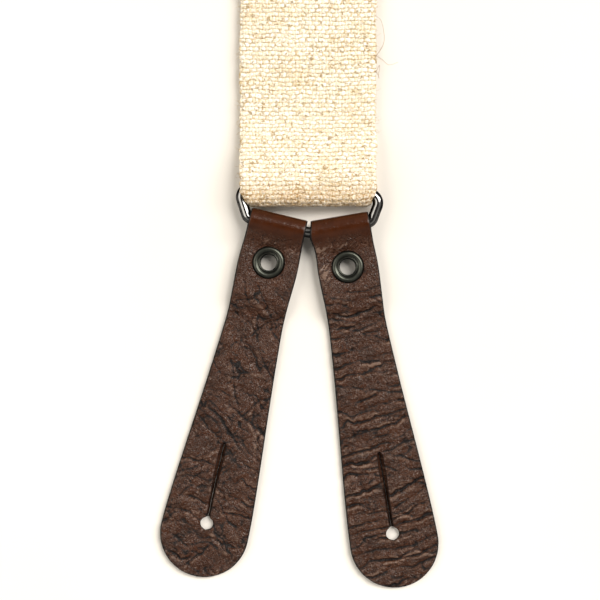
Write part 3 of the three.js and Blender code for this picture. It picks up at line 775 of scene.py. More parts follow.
def bent(points):
    """A smooth line of 25 points through the given ones."""
    points = np.array(points, float)
    t = np.linspace(0, len(points) - 1, 25)
    k = np.clip(t.astype(int), 0, len(points) - 2)
    f = (t - k)[:, None]
    padded = np.vstack([2 * points[0] - points[1], points, 2 * points[-1] - points[-2]])
    a, b, c, d = padded[k], padded[k + 1], padded[k + 2], padded[k + 3]
    return 0.5 * (2 * b + (c - a) * f + (2 * a - 5 * b + 4 * c - d) * f**2 + (3 * b - a - 3 * c + d) * f**3)


def curl(random, start, heading, length, rise):
    """Nine points of a fibre that lifts off and curls."""
    t = np.linspace(0, 1, 9)
    turn = heading + 0.9 * random.uniform(0.6, 1.6) * random.choice([-1, 1]) * t * 2
    step = length / 8
    x, y = [np.concatenate([[0], np.cumsum(wave(turn[1:]) * step)]) for wave in (np.cos, np.sin)]
    z = rise * np.sin(np.pi * t * 0.8) * min(length, 3) * 0.6
    return np.stack([x, y, z], 1) + start


# ---------- stitching ----------


def stitch_row(route, stitch, gap):
    """Short arched threads end to end along a polyline, each sinking in at its ends."""
    route = np.asarray(route, float)
    run = run_along(route)
    count = max(int(run[-1] // (stitch + gap)), 1)
    pitch = run[-1] / count
    rows = []
    for k in range(count):
        t = np.linspace(0, 1, 7)
        s = k * pitch + gap / 2 + t * (pitch - gap)
        line = np.stack([np.interp(s, run, route[:, a]) for a in range(3)], 1)
        line[:, 2] += 0.32 * (np.sin(np.pi * t) ** 0.5 - 1)
        rows.append(line)
    return rows


# ---------- ring ----------


def ring_piece(end):
    """The bent wire. Its lower bars pass through the tabs' hinges."""
    place = joint_frame(f"ring_swing_{end}")
    tab = place.inverted() @ joint_frame(next(n for n, j in JOINTS.items() if j["parent"] == f"ring_{end}"))
    slope = abs(math.atan2(tab[1][0], tab[0][0]))
    depth = (abs(tab.translation.x) * math.tan(slope) - tab.translation.y) / MM
    corner_y = depth - RING_LOW_HALF * math.tan(slope)
    straight, plain, bent_out = (0, 0), (0.1, 0.15), (0.55, 0.9)
    pulls = {"front_left": (bent_out, plain), "front_right": (plain, bent_out), "back": (straight, straight)}
    left, right = pulls[end]
    corners = [
        (RING_TOP_HALF + right[0], right[1], 2.6), (-RING_TOP_HALF - left[0], left[1], 2.6),
        (-RING_LOW_HALF, -corner_y, 1.7), (0, -depth, 3.0), (RING_LOW_HALF, -corner_y, 1.7),
    ]
    line = rounded_loop(corners, 14)
    along = unit(unit(np.roll(line, -1, 0) - line) + unit(line - np.roll(line, 1, 0)))
    out = np.stack([along[:, 1], -along[:, 0]], 1)
    angle = np.linspace(0, 2 * np.pi, 36, endpoint=False)
    uneven = WEAVE_SLUB.octaves(line[:, :1] / 4 + 9, angle[None, :] * 1.3 + line[:, 1:] / 4, 2)
    radius = WIRE_RADIUS * (1 + 0.008 * uneven)
    x, y = [line[:, a, None] + out[:, a, None] * np.cos(angle) * radius for a in (0, 1)]
    points = np.stack([x, y, RING_Z + np.sin(angle) * radius], 2)
    # Painted light and shade in part: the wire is lighter along its top and underside and darker on its
    # sides, partly polish from use.
    crown = np.broadcast_to(smooth(0.8, 0.98, np.abs(np.sin(angle))), x.shape).ravel()
    faces = grid_faces(len(line), len(angle), True, True)
    piece = make_object(f"wire_ring_{end}", points, [faces], RING_METAL, {"polish_and_highlight": crown}, place=place)
    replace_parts(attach(piece, f"ring_{end}"), f"ring_{end}")


def rounded_loop(corners, steps):
    """Points of a closed outline with rounded corners (x, y, radius), and along its straights too."""
    points = []
    count = len(corners)
    for k, (x, y, radius) in enumerate(corners):
        corner = np.array([x, y])
        back = np.array(corners[k - 1][:2]) - corner
        ahead = np.array(corners[(k + 1) % count][:2]) - corner
        back, ahead = back / np.linalg.norm(back), ahead / np.linalg.norm(ahead)
        half = math.acos(float(back @ ahead)) / 2
        inward = (back + ahead) / np.linalg.norm(back + ahead)
        centre = corner + inward * radius / math.sin(half)
        a = corner + back * radius / math.tan(half) - centre
        b = corner + ahead * radius / math.tan(half) - centre
        turn = math.atan2(a[0] * b[1] - a[1] * b[0], float(a @ b))
        for s in np.linspace(0, turn, steps):
            c, n = math.cos(s), math.sin(s)
            points.append(centre + np.array([a[0] * c - a[1] * n, a[0] * n + a[1] * c]))
    line = np.array(points)
    dense = []
    for a, b in zip(line, np.roll(line, -1, 0)):
        parts = max(int(np.linalg.norm(b - a) / 0.8), 1)
        dense += [a + (b - a) * s / parts for s in range(parts)]
    return np.array(dense)


# ---------- leather tabs ----------


class Cut:
    """How one hide's tabs are cut: their length, holes and slit differ a little by hand."""

    def __init__(self, length, hole, eyelet, slit, lean, hole_radius):
        self.length, self.hole, self.eyelet = length, hole, eyelet
        self.slit, self.lean, self.hole_radius = slit, lean, hole_radius
        t = np.linspace(0, 1, 60)
        shoulder = TAB_TOP_HALF + 0.15
        reach = length - TAB_END_HALF - TAB_WAIST
        x = [shoulder, shoulder + 0.15, TAB_END_HALF - 0.15, TAB_END_HALF]
        d = [TAB_WAIST, TAB_WAIST + 0.25 * reach, TAB_WAIST + 0.78 * reach, TAB_WAIST + reach]
        share = [(1 - t) ** 3, 3 * t * (1 - t) ** 2, 3 * t**2 * (1 - t), t**3]
        self.curve = [sum(s * v for s, v in zip(share, values)) for values in (d, x)]

    def half_width(self, d):
        """Half of the tab's width at each distance below its top edge."""
        side = np.interp(d, [0, *self.curve[0]], [TAB_TOP_HALF, *self.curve[1]])
        side += 0.42 * bell(d - 15, 7) - 0.1 * bell(d - 30, 6)
        below = np.clip(d - (self.length - TAB_END_HALF), 0, TAB_END_HALF)
        end = np.sqrt(TAB_END_HALF**2 - below**2)
        corner = 0.35 * (1 - smooth(0, 0.8, d)) ** 2
        return np.where(below > 0, end, side) - corner

    def opening(self, d):
        """Half of what is cut out along the middle: for the eyelet, the slit and the buttonhole."""
        eyelet = np.sqrt(np.clip(EYELET_HOLE**2 - (d - self.eyelet) ** 2, 0, None))
        hole = np.sqrt(np.clip(self.hole_radius**2 - (d - self.hole) ** 2, 0, None))
        top = self.hole - SLIT_LENGTH
        inside = smooth(top - 0.3, top + 0.9, d) * (d < self.hole)
        waver = 0.25 * np.sin((d - top) / SLIT_LENGTH * 7) - 0.35 * smooth(self.hole - 7, self.hole - 2, d)
        return np.maximum(eyelet, hole), self.slit * inside * (1 + waver)

    def middle(self, d):
        """How far the slit strays from the tab's axis."""
        top = self.hole - SLIT_LENGTH
        stray = np.clip((self.hole - 1 - d) / (SLIT_LENGTH - 1), 0, 1)
        return self.lean * stray * (1.5 - stray) * 2 * smooth(top - 4, top, d)


class Creases:
    """Drummed-in folds: narrow valleys with a soft ridge beside them."""

    def __init__(self, seed, families, count):
        random = np.random.RandomState(seed)
        self.noise = Noise(seed + 100)
        self.lines = []
        for k in range(count):
            angle, spread = families[random.randint(len(families))]
            tilt = angle + random.uniform(-spread, spread)
            middle = np.array([random.uniform(-9, 9), 21 + (k + random.rand()) * 82 / count])
            reach = random.uniform(3.5, 13)
            depth = random.uniform(0.35, 1.0)
            self.lines.append((middle, tilt, reach, depth, random.uniform(0, 50)))

    def field(self, x, d):
        """Above 0 in a valley, below 0 on the ridge beside it."""
        total = np.zeros(x.shape)
        for middle, tilt, reach, depth, phase in self.lines:
            s, across = turned(x - middle[0], d - middle[1], tilt)
            across = across + 1.1 * self.noise.octaves(s / 4.5 + phase, np.full(x.shape, phase), 3)
            fade = np.clip(1 - (s / reach) ** 2, 0, 1)
            total += depth * fade * (bell(across, 0.27) - 0.42 * bell(across - 0.8, 0.55))
        return total

    def corrugation(self, x, d, angle, pitch, seed):
        """Shallow waves that run across the hide, each with a sharp valley that comes and goes."""
        along, across = turned(x, d, angle)
        p = across / pitch + 0.5 * self.noise.octaves(along / 8 + seed, across / 10, 3)
        p = p + 0.09 * self.noise.octaves(along / 1.3 + seed, across / 2, 2)
        which = np.floor(p)
        off = (p - which - 0.5) * pitch
        strength = np.clip(0.45 + 1.1 * self.noise.at(which * 7.7 + seed, along / 6), 0, 1)
        valley = strength * (bell(off, 0.24) - 0.3 * bell(np.abs(off) - 0.75, 0.5))
        return valley, (0.35 + 0.65 * strength) * np.cos(2 * np.pi * (p - which - 0.5))

    def network(self, x, d, stretch, angles, width):
        """Fine wrinkles that run into each other, drawn out along each of the angles in turn."""
        total = np.zeros(x.shape)
        for k, angle in enumerate(angles):
            along, across = turned(x, d, angle)
            along = along + 0.8 * self.noise.octaves(x / 2.5 + 7 * k, d / 2.5 + 3, 2)
            field = self.noise.octaves(along / (stretch * width) + 31 * k, across / width + 11 * k, 2)
            total += bell(field, 0.075) * (0.55 + 0.6 * self.noise.at(x / 6 + 50 * k, d / 6 + 5))
        return total


def tab_surface(creases, kind, x, d, eyelet):
    """Height of the grain side above the plain leather, and at each place the crease field with painted light
    added: highlight streaks and sheen, and a shade ring round the eyelet.
    """
    n, hide_across = creases.noise, kind == "across"
    face = smooth(16, 25, d)
    open_side = smooth(5.5, 9, d)
    angles = (3, -9) if hide_across else (38, -42, 4)
    strokes = creases.field(x, d)
    wrinkles = creases.network(x, d, 2.6, angles, 2.6)
    wrinkles = wrinkles + 0.6 * creases.network(x + 40, d, 1.7, angles[:2], 1.3)
    if hide_across:
        valleys, waves = creases.corrugation(x, d, -6, 3.2, 3)
    else:
        first, waves_a = creases.corrugation(x, d, 34, 4.4, 5)
        second, waves_b = creases.corrugation(x, d, -38, 5.0, 9)
        third, waves_c = creases.corrugation(x, d, 3, 4.8, 14)
        low = smooth(55, 75, d)
        valleys = 0.8 * np.maximum(first, second) * (1 - 0.5 * low) + 0.9 * third * low
        waves = 0.75 * (waves_a + waves_b) * (1 - 0.5 * low) + waves_c * low
    around = np.hypot(x, d - eyelet)
    near_eyelet = smooth(11, 5.5, around)
    wrinkles = wrinkles * (0.35 + 0.65 * face) * (1 - 0.7 * near_eyelet) * open_side
    folds = strokes * (0.1 + 0.6 * face) + 0.5 * wrinkles + 1.1 * valleys * face
    folds = folds * (1.0 if hide_across else 0.92)
    grain = n.octaves(x / 1.1 + 3, d / 0.9, 2) * (0.4 + 0.6 * face) * open_side
    broad = n.octaves(x / 8 + 21, d / 8, 2)
    dent = -0.32 * bell(around - 4.5, 1.0)
    slant, high_side, sheen = (-0.05, -x, 0.0) if hide_across else (0.28, x, 0.1)
    band = bell(d - 8.3 - slant * x - 0.7 * n.at(x / 2.5, x * 0 + 5), 1.5) * smooth(-9, 2, high_side)
    sheen = sheen * (0.5 + n.octaves(x / 5, d / 5 + 30, 2))
    streaks = np.clip(n.octaves((x + d) / 0.5, (x - d) / 2.2, 2) + 0.15, 0, 1)
    height = -0.36 * folds + 0.09 * grain + 0.2 * broad * face + dent + 0.2 * band - 0.24 * waves * face
    # Painted highlight: a streaky lighter band below the fold, sheen on the face and, on the across hide, a
    # patch of glints by the eyelet.
    light = -0.85 * band * streaks * (1 - 0.4 * near_eyelet) - sheen * face
    if hide_across:
        light -= 0.9 * bell(x + 6.4, 1.5) * bell(d - 14.5, 4.5) * np.clip(streaks * 2, 0, 1)
    # The last term is painted shade in a ring round the eyelet.
    return height, folds * (0.25 + 0.75 * open_side) + light + 0.12 * bell(around - 4.9, 0.7)


def tab_mesh(name, creases, kind, cut):
    """One folded tab in its own frame: the bar runs along X through (0, 0, RING_Z)."""
    top_y = TAB_FOLD_RADIUS + LEATHER / 2
    low_z = RING_Z - TAB_FOLD_RADIUS
    face_z = low_z + LEATHER + TAB_GAP
    tail_y = top_y - TAIL_LENGTH
    trace = Trace(tail_y, low_z).line(0, low_z).arc(0, RING_Z, TAB_FOLD_RADIUS, -90, 90)
    trace.ramp(-7, face_z).line(tail_y - 0.5, face_z).ramp(tail_y - 8, LEATHER / 2 + TAB_GAP)
    trace.line(top_y - cut.length, LEATHER / 2 + 0.05)
    line = trace.sampled(lambda y: 0.28)[0]
    along = unit(np.gradient(line, axis=0))
    normal = np.stack([along[:, 1], -along[:, 0]], 1)
    face_side = np.arange(len(line)) > np.argmax(line[:, 0])
    d = np.clip(top_y - line[:, 0], 0, cut.length - 0.02)
    width = cut.half_width(d)
    holes, slit = cut.opening(d)
    room = np.maximum(width - 0.4, 0)
    holes = np.minimum(np.where(face_side | (d < 30), holes, 0), room)
    slit = np.where(face_side, slit, 0)
    opening = np.maximum(holes, slit)
    opening_below = np.maximum(holes, np.minimum(slit, 0.07))

    # The columns of points run outwards from the slit on both sides.
    half = 40
    share = np.linspace(0, 1, half) ** 0.95
    columns = np.concatenate([-share[::-1], share])
    sign = np.where(np.arange(2 * half) < half, -1, 1)
    centre = np.where(face_side, cut.middle(d), 0)[:, None] * (1 - np.abs(columns))
    pulled = (bell(d - 4.5, 3) if kind == "across" else 0 * d)[:, None]

    def spread(gap):
        edges = np.abs(columns) * (width[:, None] + np.where(sign < 0, pulled, 0))
        return centre + sign * (gap[:, None] * (1 - np.abs(columns)) + edges)

    x, x_below = spread(opening), spread(opening_below)
    d_grid = np.repeat(d[:, None], len(columns), 1)
    # crease carries the fold depth together with the painted highlight and shade from tab_surface.
    lift, crease = tab_surface(creases, kind, x, d_grid, cut.eyelet)
    lift = np.where(face_side[:, None], lift, lift * 0.15)
    from_end = np.where(d_grid > 60, cut.length - d_grid, 9)
    from_rim = np.minimum((1 - np.abs(columns)) * width[:, None], from_end)
    from_cut = np.where(opening[:, None] > 0.05, np.abs(columns) * (width - opening)[:, None], 9)
    rim = np.maximum(1 - smooth(0.0, 0.55, from_rim), 0.6 - 0.6 * smooth(0.0, 0.3, from_cut))
    lift = lift * (1 - 0.6 * rim) - 0.16 * rim
    curl_up = 0.45 * WEAVE_SLUB.octaves(columns[None, :] * 0.8 + 5, d_grid / 24, 2) * smooth(30, 60, d_grid)
    curl_up = np.where(face_side[:, None], np.clip(curl_up + 0.12, 0, 1), 0)

    outer = off_trace(x, line, normal, LEATHER / 2 + lift, curl_up)
    inner = off_trace(x_below, line, normal, -LEATHER / 2 + 0.1 * rim, curl_up)

    # Where nothing is cut out both sides share the middle points, and no face spans an opening.
    rows, cols = outer.shape[:2]
    index = np.arange(rows * cols).reshape(rows, cols)
    joined = opening < 0.03
    index[joined, half] = index[joined, half - 1]
    quads = np.stack([index[:-1, :-1], index[:-1, 1:], index[1:, 1:], index[1:, :-1]], -1).reshape(-1, 4)
    gap = np.zeros((rows - 1, cols - 1), bool)
    gap[:, half - 1] = True
    quads = quads[~gap.ravel()]

    points, faces, rims = close_leather(outer.reshape(-1, 3), inner.reshape(-1, 3), quads)
    flat = np.stack([x, d_grid + np.where(face_side, 0, 300)[:, None], 0 * x], 2).reshape(-1, 3)
    top = 1 - smooth(4.2, 7.2, d_grid + 0.8 * creases.noise.octaves(x / 2, d_grid / 3, 2))
    fields = {
        "flat": flat, "crease": crease.ravel(), "rim": rim.ravel(),
        "top": np.where(face_side[:, None], top, 0.5).ravel(),
    }
    attributes = {k: np.concatenate([v, v, v[rims], v[rims], v[rims]]) for k, v in fields.items()}
    extra = len(attributes["rim"]) - 3 * len(rims)
    inner_wall = (from_cut < from_rim).ravel()[rims]
    attributes["rim"][extra:] = np.tile(np.where(inner_wall, 0.32, 1.0), 3)[: len(attributes["rim"]) - extra]
    attributes["crease"][len(flat):] = 0
    return make_object(name, points, faces, TAB_LEATHER, attributes)


def close_leather(outer, inner, quads):
    """Joins two skins of leather into a closed solid with a rounded cut edge.

    Also returns which of their points lie on that edge."""
    edges = np.concatenate([quads[:, [0, 1]], quads[:, [1, 2]], quads[:, [2, 3]], quads[:, [3, 0]]])
    keep = edges[:, 0] != edges[:, 1]
    edges = edges[keep]
    key = np.sort(edges, 1)
    _, inverse, count = np.unique(key[:, 0] * 10**7 + key[:, 1], return_inverse=True, return_counts=True)
    border = edges[count[inverse] == 1]
    rims = np.unique(border)
    slot_of = np.full(len(outer), -1)
    slot_of[rims] = np.arange(len(rims))
    outward = np.zeros((len(outer), 3))
    step = outer[border[:, 1]] - outer[border[:, 0]]
    away = np.cross(step, outer[border[:, 0]] - inner[border[:, 0]])
    length = np.linalg.norm(away, axis=1)
    away /= np.where(length > 0, length, 1)[:, None]
    for k in (0, 1):
        np.add.at(outward, border[:, k], away)
    outward = outward[rims]
    outward /= np.maximum(np.linalg.norm(outward, axis=1), 1e-9)[:, None]
    thick = inner[rims] - outer[rims]
    belts = [outer[rims] + thick * s + outward * b for s, b in ((0.14, 0.09), (0.5, 0.15), (0.86, 0.09))]
    n, m = len(outer), len(rims)
    points = np.vstack([outer, inner, *belts])
    a, b = border[:, 0], border[:, 1]
    walls, chain = [], [(a, b)]
    for k in range(3):
        chain.append((2 * n + k * m + slot_of[a], 2 * n + k * m + slot_of[b]))
    chain.append((n + a, n + b))
    for (a0, b0), (a1, b1) in zip(chain[:-1], chain[1:]):
        walls.append(np.stack([b0, a0, a1, b1], 1))
    flipped = quads[:, ::-1] + n
    return points, [np.vstack([quads, flipped, *walls])], rims


def tab_pieces():
    """Two hides with their own creases and cuts, used in turn at each end."""
    hides = {
        "across": (
            Creases(5, [(2, 12), (-12, 9), (10, 8)], 40),
            Cut(length=105.2, hole=90.1, eyelet=14.3, slit=0.72, lean=0.05, hole_radius=1.85),
        ),
        "crossed": (
            Creases(8, [(38, 14), (-42, 14), (8, 10), (75, 12)], 34),
            Cut(length=104.0, hole=88.9, eyelet=13.8, slit=0.66, lean=-0.35, hole_radius=1.8),
        ),
    }
    first = {}
    for tab in [b[4:] for b in frame["bodies"] if b.startswith("tab_")]:
        kind = "crossed" if tab in ("front_left_outer", "front_right_inner", "back_left") else "across"
        creases, cut = hides[kind]
        place = joint_frame(f"tab_swing_{tab}")
        name = f"leather_tab_{tab}"
        if kind in first:
            piece = add_object(name, first[kind].data, place)
        else:
            piece = first[kind] = tab_mesh(name, creases, kind, cut)
            piece.matrix_world = place
        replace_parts(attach(piece, f"tab_{tab}"), f"tab_{tab}")
        eyelet_y = TAB_FOLD_RADIUS + LEATHER / 2 - cut.eyelet
        eyelet_pieces(tab, place @ Matrix.Translation((0, eyelet_y * MM, 0)))


def eyelet_pieces(tab, place):
    """A rolled eyelet with its barrel, and the washer it is set against."""
    seat = RING_Z - TAB_FOLD_RADIUS + LEATHER * 1.5 + TAB_GAP
    # The profile's third column lightens the rolled flange's crown and the inner lip, partly as polish from
    # use and partly as painted highlight.
    profile = [
        (2.36, 0.05, 0.0), (2.26, 0.3, 0.0), (2.24, seat - 0.2, 0.0), (2.26, seat + 0.15, 0.0),
        (2.34, seat + 0.36, 0.1),
        (2.5, seat + 0.5, 0.5), (2.68, seat + 0.46, 0.2), (2.82, seat + 0.3, 0.0), (3.0, seat + 0.24, 0.0),
        (3.16, seat + 0.36, 0.3), (3.4, seat + 0.5, 0.75), (3.7, seat + 0.55, 0.85), (3.95, seat + 0.5, 0.6),
        (4.2, seat + 0.36, 0.25), (4.4, seat + 0.14, 0.03), (4.56, seat - 0.08, 0.0),
        (4.58, seat - 0.22, 0.0), (4.4, seat - 0.3, 0.0), (2.9, seat - 0.1, 0.0), (2.7, seat - 0.4, 0.0),
        (2.66, 0.3, 0.0), (2.6, 0.05, 0.0),
    ]
    table = np.array(profile)
    piece = lathe(f"set_eyelet_{tab}", table[:, :2], 72, EYELET_METAL, place, {"polish_and_highlight": table[:, 2]})
    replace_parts(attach(piece, f"tab_{tab}"), f"eyelet_{tab}")
    ring = [(3.0, 0.06), (3.1, 0.0), (4.45, 0.0), (4.6, 0.12)]
    ring += [(4.6, 0.36), (4.45, 0.48), (3.1, 0.5), (3.0, 0.42)]
    washer = lathe(f"set_washer_{tab}", ring, 48, EYELET_METAL, place, {"polish_and_highlight": np.full(len(ring), 0.3)})
    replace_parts(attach(washer, f"tab_{tab}"), f"washer_{tab}")


# ---------- adjusters ----------


def softened(node, name, bevel, material, body):
    """A copy of a CAD node with its flat faces merged and its edges rounded."""
    mesh = frame["nodes"][node].data.copy()
    mesh.name = name
    mesh.materials.clear()
    mesh.materials.append(material)
    b = bmesh.new()
    b.from_mesh(mesh)
    bmesh.ops.remove_doubles(b, verts=b.verts, dist=1e-6)
    bmesh.ops.dissolve_limit(b, angle_limit=math.radians(3), verts=b.verts, edges=b.edges)
    b.to_mesh(mesh)
    b.free()
    piece = add_object(name, mesh)
    rounding = piece.modifiers.new("rounded_edges", "BEVEL")
    rounding.width, rounding.segments = bevel * MM, 3
    rounding.limit_method, rounding.angle_limit = "ANGLE", math.radians(35)
    rounding.harden_normals = True
    for polygon in mesh.polygons:
        polygon.use_smooth = True
    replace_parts(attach(piece, body), node)


def adjuster_pieces(end):
    """The adjuster's plated parts, and the ridges pressed into its lever: three grips and a border."""
    for node, bevel, body in (
        (f"adjuster_frame_{end}", 0.22, f"adjuster_{end}"),
        (f"adjuster_pin_{end}", 0.25, f"adjuster_{end}"),
        (f"adjuster_lever_{end}", 0.3, f"lever_{end}"),
    ):
        softened(node, f"{node}_plated", bevel, ADJUSTER_METAL, body)
    place = strap_frame(end)
    pin = place.inverted() @ centre_of(f"adjuster_pin_{end}") / MM
    top = pin.z + LEVER_RISE
    ridges = []
    for down in (16.4, 15.2, 14.0):
        ridges.append(np.array([[x, pin.y - down, top - 0.02] for x in np.linspace(-11, 11, 9)]))
    high, low, half, radius = pin.y - 2.2, pin.y - 11.6, 15.5, 2
    corners = [(half, high, radius), (-half, high, radius), (-half, low, radius), (half, low, radius)]
    border = rounded_loop(corners, 6)
    border = np.vstack([border, border[:2]])
    ridges.append(np.column_stack([border, np.full(len(border), top - 0.05)]))
    piece = many_tubes(f"lever_ridges_{end}", ridges, 0.3, ADJUSTER_METAL, 8, place)
    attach(piece, f"lever_{end}")


# ---------- back patch ----------

STRAP_MEET_Y = JOINTS["ring_swing_front_left"]["pos_m"][1] / MM + STRAP_MEET * math.cos(SPREAD)
PATCH_NOISE = Noise(31)


def outline_of(node):
    """The plan outline of a flat CAD node as a closed line, in millimetres."""
    mesh = frame["nodes"][node].data
    top = max(v.co.z for v in mesh.vertices)
    seen = {}
    for v in mesh.vertices:
        if v.co.z > top - 1e-5:
            seen[(round(v.co.x / MM, 3), round(v.co.y / MM, 3))] = True
    points = np.array(list(seen))
    angle = np.arctan2(points[:, 1] + 4, points[:, 0])
    return points[np.argsort(angle)]


def even_loop(points, step):
    """The same closed line with evenly spaced points."""
    closed = np.vstack([points, points[:1]])
    run = run_along(closed)
    s = np.linspace(0, run[-1], int(run[-1] / step), endpoint=False)
    return np.stack([np.interp(s, run, closed[:, k]) for k in (0, 1)], 1)


def inset_loop(loop, distance):
    """The closed line moved inwards by a distance."""
    along = unit(np.roll(loop, -1, 0) - np.roll(loop, 1, 0))
    return loop + np.stack([-along[:, 1], along[:, 0]], 1) * distance


def over_straps(x, y):
    """1 where a strap end lies inside the patch, easing to 0 beside it."""
    lean = np.abs(x) * math.cos(SPREAD) - (STRAP_MEET_Y - y) * math.sin(SPREAD)
    front = smooth(2.8, 0.2, np.abs(lean) - WEB_HALF) * smooth(-1.2, -4.0, y)
    back = smooth(2.8, 0.2, np.abs(x) - WEB_HALF) * smooth(-8.5, -5.7, y)
    return np.maximum(front, back)


def patch_height(x, y, from_edge):
    """Height of the top leather's face: up over the strap ends, down to the lower leather between them."""
    height = PATCH_LOW + (PATCH_SEAT + LEATHER - PATCH_LOW) * over_straps(x, y)
    height += 0.12 * PATCH_NOISE.octaves(x / 8, y / 8, 3) + 0.05 * PATCH_NOISE.octaves(x / 1.5, y / 1.5, 2)
    groove = 0.22 * bell(from_edge - STITCH_INSET, 0.5)
    return height - groove - 0.3 * (1 - smooth(0, 0.9, from_edge))


def patch_grid(loop):
    """Rings of points that follow the edge at first and then close on the middle.

    Also gives each point's distance from the edge, and the middle."""
    middle = loop.mean(0)
    rings, depths = [], []
    for k in range(PATCH_RINGS):
        share = (k / PATCH_RINGS) ** 1.25
        depths.append(PATCH_BORDER * min(share * 3, 1))
        closing = max((share - 1 / 3) / (2 / 3), 0)
        rings.append(inset_loop(loop, depths[-1]) * (1 - closing) + middle * closing)
    return np.array(rings), np.repeat(np.array(depths)[:, None], len(loop), 1), middle


def patch_leather(node, loop, upper):
    """One of the patch's two leathers, closed round a rounded edge."""
    rings, from_edge, middle = patch_grid(loop)
    count = len(loop)
    if upper:
        face = patch_height(rings[..., 0], rings[..., 1], from_edge)
        middle_face = patch_height(middle[:1], middle[1:], np.array([9.0]))[0]
        underside = face - LEATHER
    else:
        face, middle_face = np.full(from_edge.shape, LEATHER), LEATHER
        underside = 0.05 * (1 - smooth(0, 0.6, from_edge))
    outer = np.vstack([np.dstack([rings, face]).reshape(-1, 3), [*middle, middle_face]])
    inner = np.vstack([np.dstack([rings, underside]).reshape(-1, 3), [*middle, middle_face - LEATHER]])
    belt = np.column_stack([inset_loop(loop, -0.12), (outer[:count, 2] + inner[:count, 2]) / 2])

    n = len(outer)
    edge = np.arange(count)
    after = np.roll(edge, -1)
    last = (PATCH_RINGS - 1) * count
    quads = grid_faces(PATCH_RINGS, count, close_columns=True)
    fan = np.stack([last + edge, last + after, np.full(count, n - 1)], 1)
    upper_wall = np.stack([after, edge, 2 * n + edge, 2 * n + after], 1)
    lower_wall = np.stack([2 * n + after, 2 * n + edge, n + edge, n + after], 1)
    triangles = np.vstack([fan, fan[:, ::-1] + n])
    faces = [np.vstack([quads, quads[:, ::-1] + n, upper_wall, lower_wall]), triangles]

    rim = np.concatenate([1 - smooth(0, 0.5, from_edge.ravel()), [0]])
    flat = np.column_stack([outer[:, 0], outer[:, 1] + (0 if upper else 200), np.zeros(n)])
    plain = np.zeros(2 * n + count)
    fields = {
        "flat": np.vstack([flat, flat + 90, flat[:count]]), "crease": plain, "top": plain,
        "rim": np.concatenate([rim, rim, np.ones(count)]),
    }
    return make_object(f"{node}_leather", np.vstack([outer, inner, belt]), faces, PATCH_LEATHER, fields)


def patch_pieces():
    """The two leathers of the back patch, and the stitching round the upper one."""
    for node in ("patch_top", "patch_bottom"):
        loop = even_loop(outline_of(node), 0.7)
        piece = patch_leather(node, loop, node == "patch_top")
        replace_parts(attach(piece, "straps"), node)
        if node == "patch_bottom":
            continue
        route = inset_loop(loop, STITCH_INSET)
        z = patch_height(route[:, 0], route[:, 1], np.full(len(route), STITCH_INSET)) + 0.3
        line = np.column_stack([route, z])
        rows = stitch_row(np.vstack([line, line[:1]]), 2.6, 0.9)
        stitches = many_tubes("patch_stitches", rows, 0.3, THREAD, 6, None)
        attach(stitches, "straps")


# ---------- surroundings ----------


def sun(name, strength, width, colour, towards):
    """A far lamp, width degrees across, in the direction towards as the hero strap's frame has it."""
    light = bpy.data.lights.new(name, "SUN")
    light.energy, light.angle, light.color = strength, math.radians(width), colour
    lamp = add_object(name, light)
    direction = strap_frame(HERO).to_3x3() @ Vector(towards)
    lamp.rotation_euler = direction.to_track_quat("Z", "Y").to_euler()


def surroundings():
    """The white floor, three soft lamps and a pale room whose zenith is dark."""
    reach, under = 30000, -0.05
    corners = [[-reach, -reach, 0], [reach, -reach, 0], [reach, reach, 0], [-reach, reach, 0]]
    floor = make_object("floor", corners, [np.array([[0, 1, 2, 3]])], floor_material(), smooth_shading=False)
    floor.location.z = under * MM

    sun("softbox", 2.3, 30, (1.0, 0.95, 0.88), (0.42, 0.36, 0.83))
    sun("key", 1.3, 18, (1.0, 0.95, 0.88), (0.8, 0.35, 0.62))
    sun("fill", 1.4, 50, (1.0, 0.93, 0.83), (-0.7, 0.05, 0.68))

    sky = Tree("soft_room", bpy.data.worlds, "Background")
    height = sky.split(sky.coordinates("Generated"))["Z"]
    levels = [(0.0, 0.9), (0.06, 0.9), (0.16, 0.15), (0.42, 1.0), (0.78, 1.0), (0.95, 0.06)]
    colours = [(place, (level, 0.95 * level, 0.86 * level)) for place, level in levels]
    bpy.context.scene.world = sky.finish(Color=sky.ramp(height, colours), Strength=0.5)


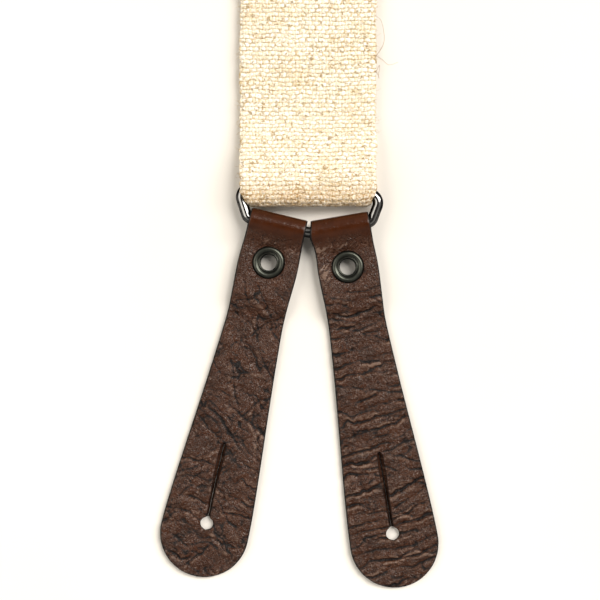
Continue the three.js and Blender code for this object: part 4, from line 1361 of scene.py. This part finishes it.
def camera():
    """Straight down on one front end, with that strap running up the picture."""
    lens, sensor, frame_width = 85.0, 36.0, 167.6 * MM
    aim_x, aim_y, aim_z = -2.2 * MM, -29.9 * MM, 2.5 * MM
    data = bpy.data.cameras.new("camera")
    data.lens, data.sensor_width = lens, sensor
    data.clip_start, data.clip_end = 0.01, 100
    above = Matrix.Translation((aim_x, aim_y, frame_width / sensor * lens + aim_z))
    bpy.context.scene.camera = add_object("camera", data, strap_frame(HERO) @ above)
    bpy.context.scene.view_settings.view_transform = "Standard"


# ---------- everything ----------

LINEN = linen_material()
FIBRE = thread_material("flax_fibre", (0.8, 0.7, 0.5), (0.45, 0.33, 0.18))
HAIR = thread_material("long_flax_fibre", (0.55, 0.36, 0.2), (0.3, 0.17, 0.08))
THREAD = thread_material("linen_thread", (0.75, 0.62, 0.42), (0.4, 0.28, 0.15))
BROWN, RED_BROWN = (0.054, 0.02, 0.01), (0.048, 0.012, 0.003)
# After the brown come the painted highlight colour for specks and ridges and the near-black painted shade
# colour for grain hollows and creases, then the fold's red-brown.
TAB_LEATHER = leather_material("tab_leather", BROWN, (0.25, 0.165, 0.125), (0.003, 0.001, 0.001), RED_BROWN)
PATCH_LEATHER = leather_material("patch_leather", BROWN, (0.17, 0.11, 0.08), (0.005, 0.002, 0.001), RED_BROWN)
RING_METAL = metal_material("ring_gunmetal", (0.009, 0.009, 0.01), (0.26, 0.26, 0.26), 0.1, 0.18, 0.004)
EYELET_COLOURS = (0.012, 0.012, 0.011), (0.075, 0.08, 0.068)
EYELET_METAL = metal_material("eyelet_gunmetal", *EYELET_COLOURS, 0.25, 0.42, 0.012)
ADJUSTER_METAL = metal_material("adjuster_gunmetal", (0.07, 0.07, 0.072), (0.2, 0.2, 0.2), 0.22, 0.4, 0.01)

camera()
for end in ("front_left", "front_right"):
    front_webbing(end)
    adjuster_pieces(end)
back_webbing()
for end, seed in (("front_left", 3), ("front_right", 4), ("back", 6)):
    fuzz(end, 260, seed)
    ring_piece(end)
tab_pieces()
patch_pieces()
surroundings()
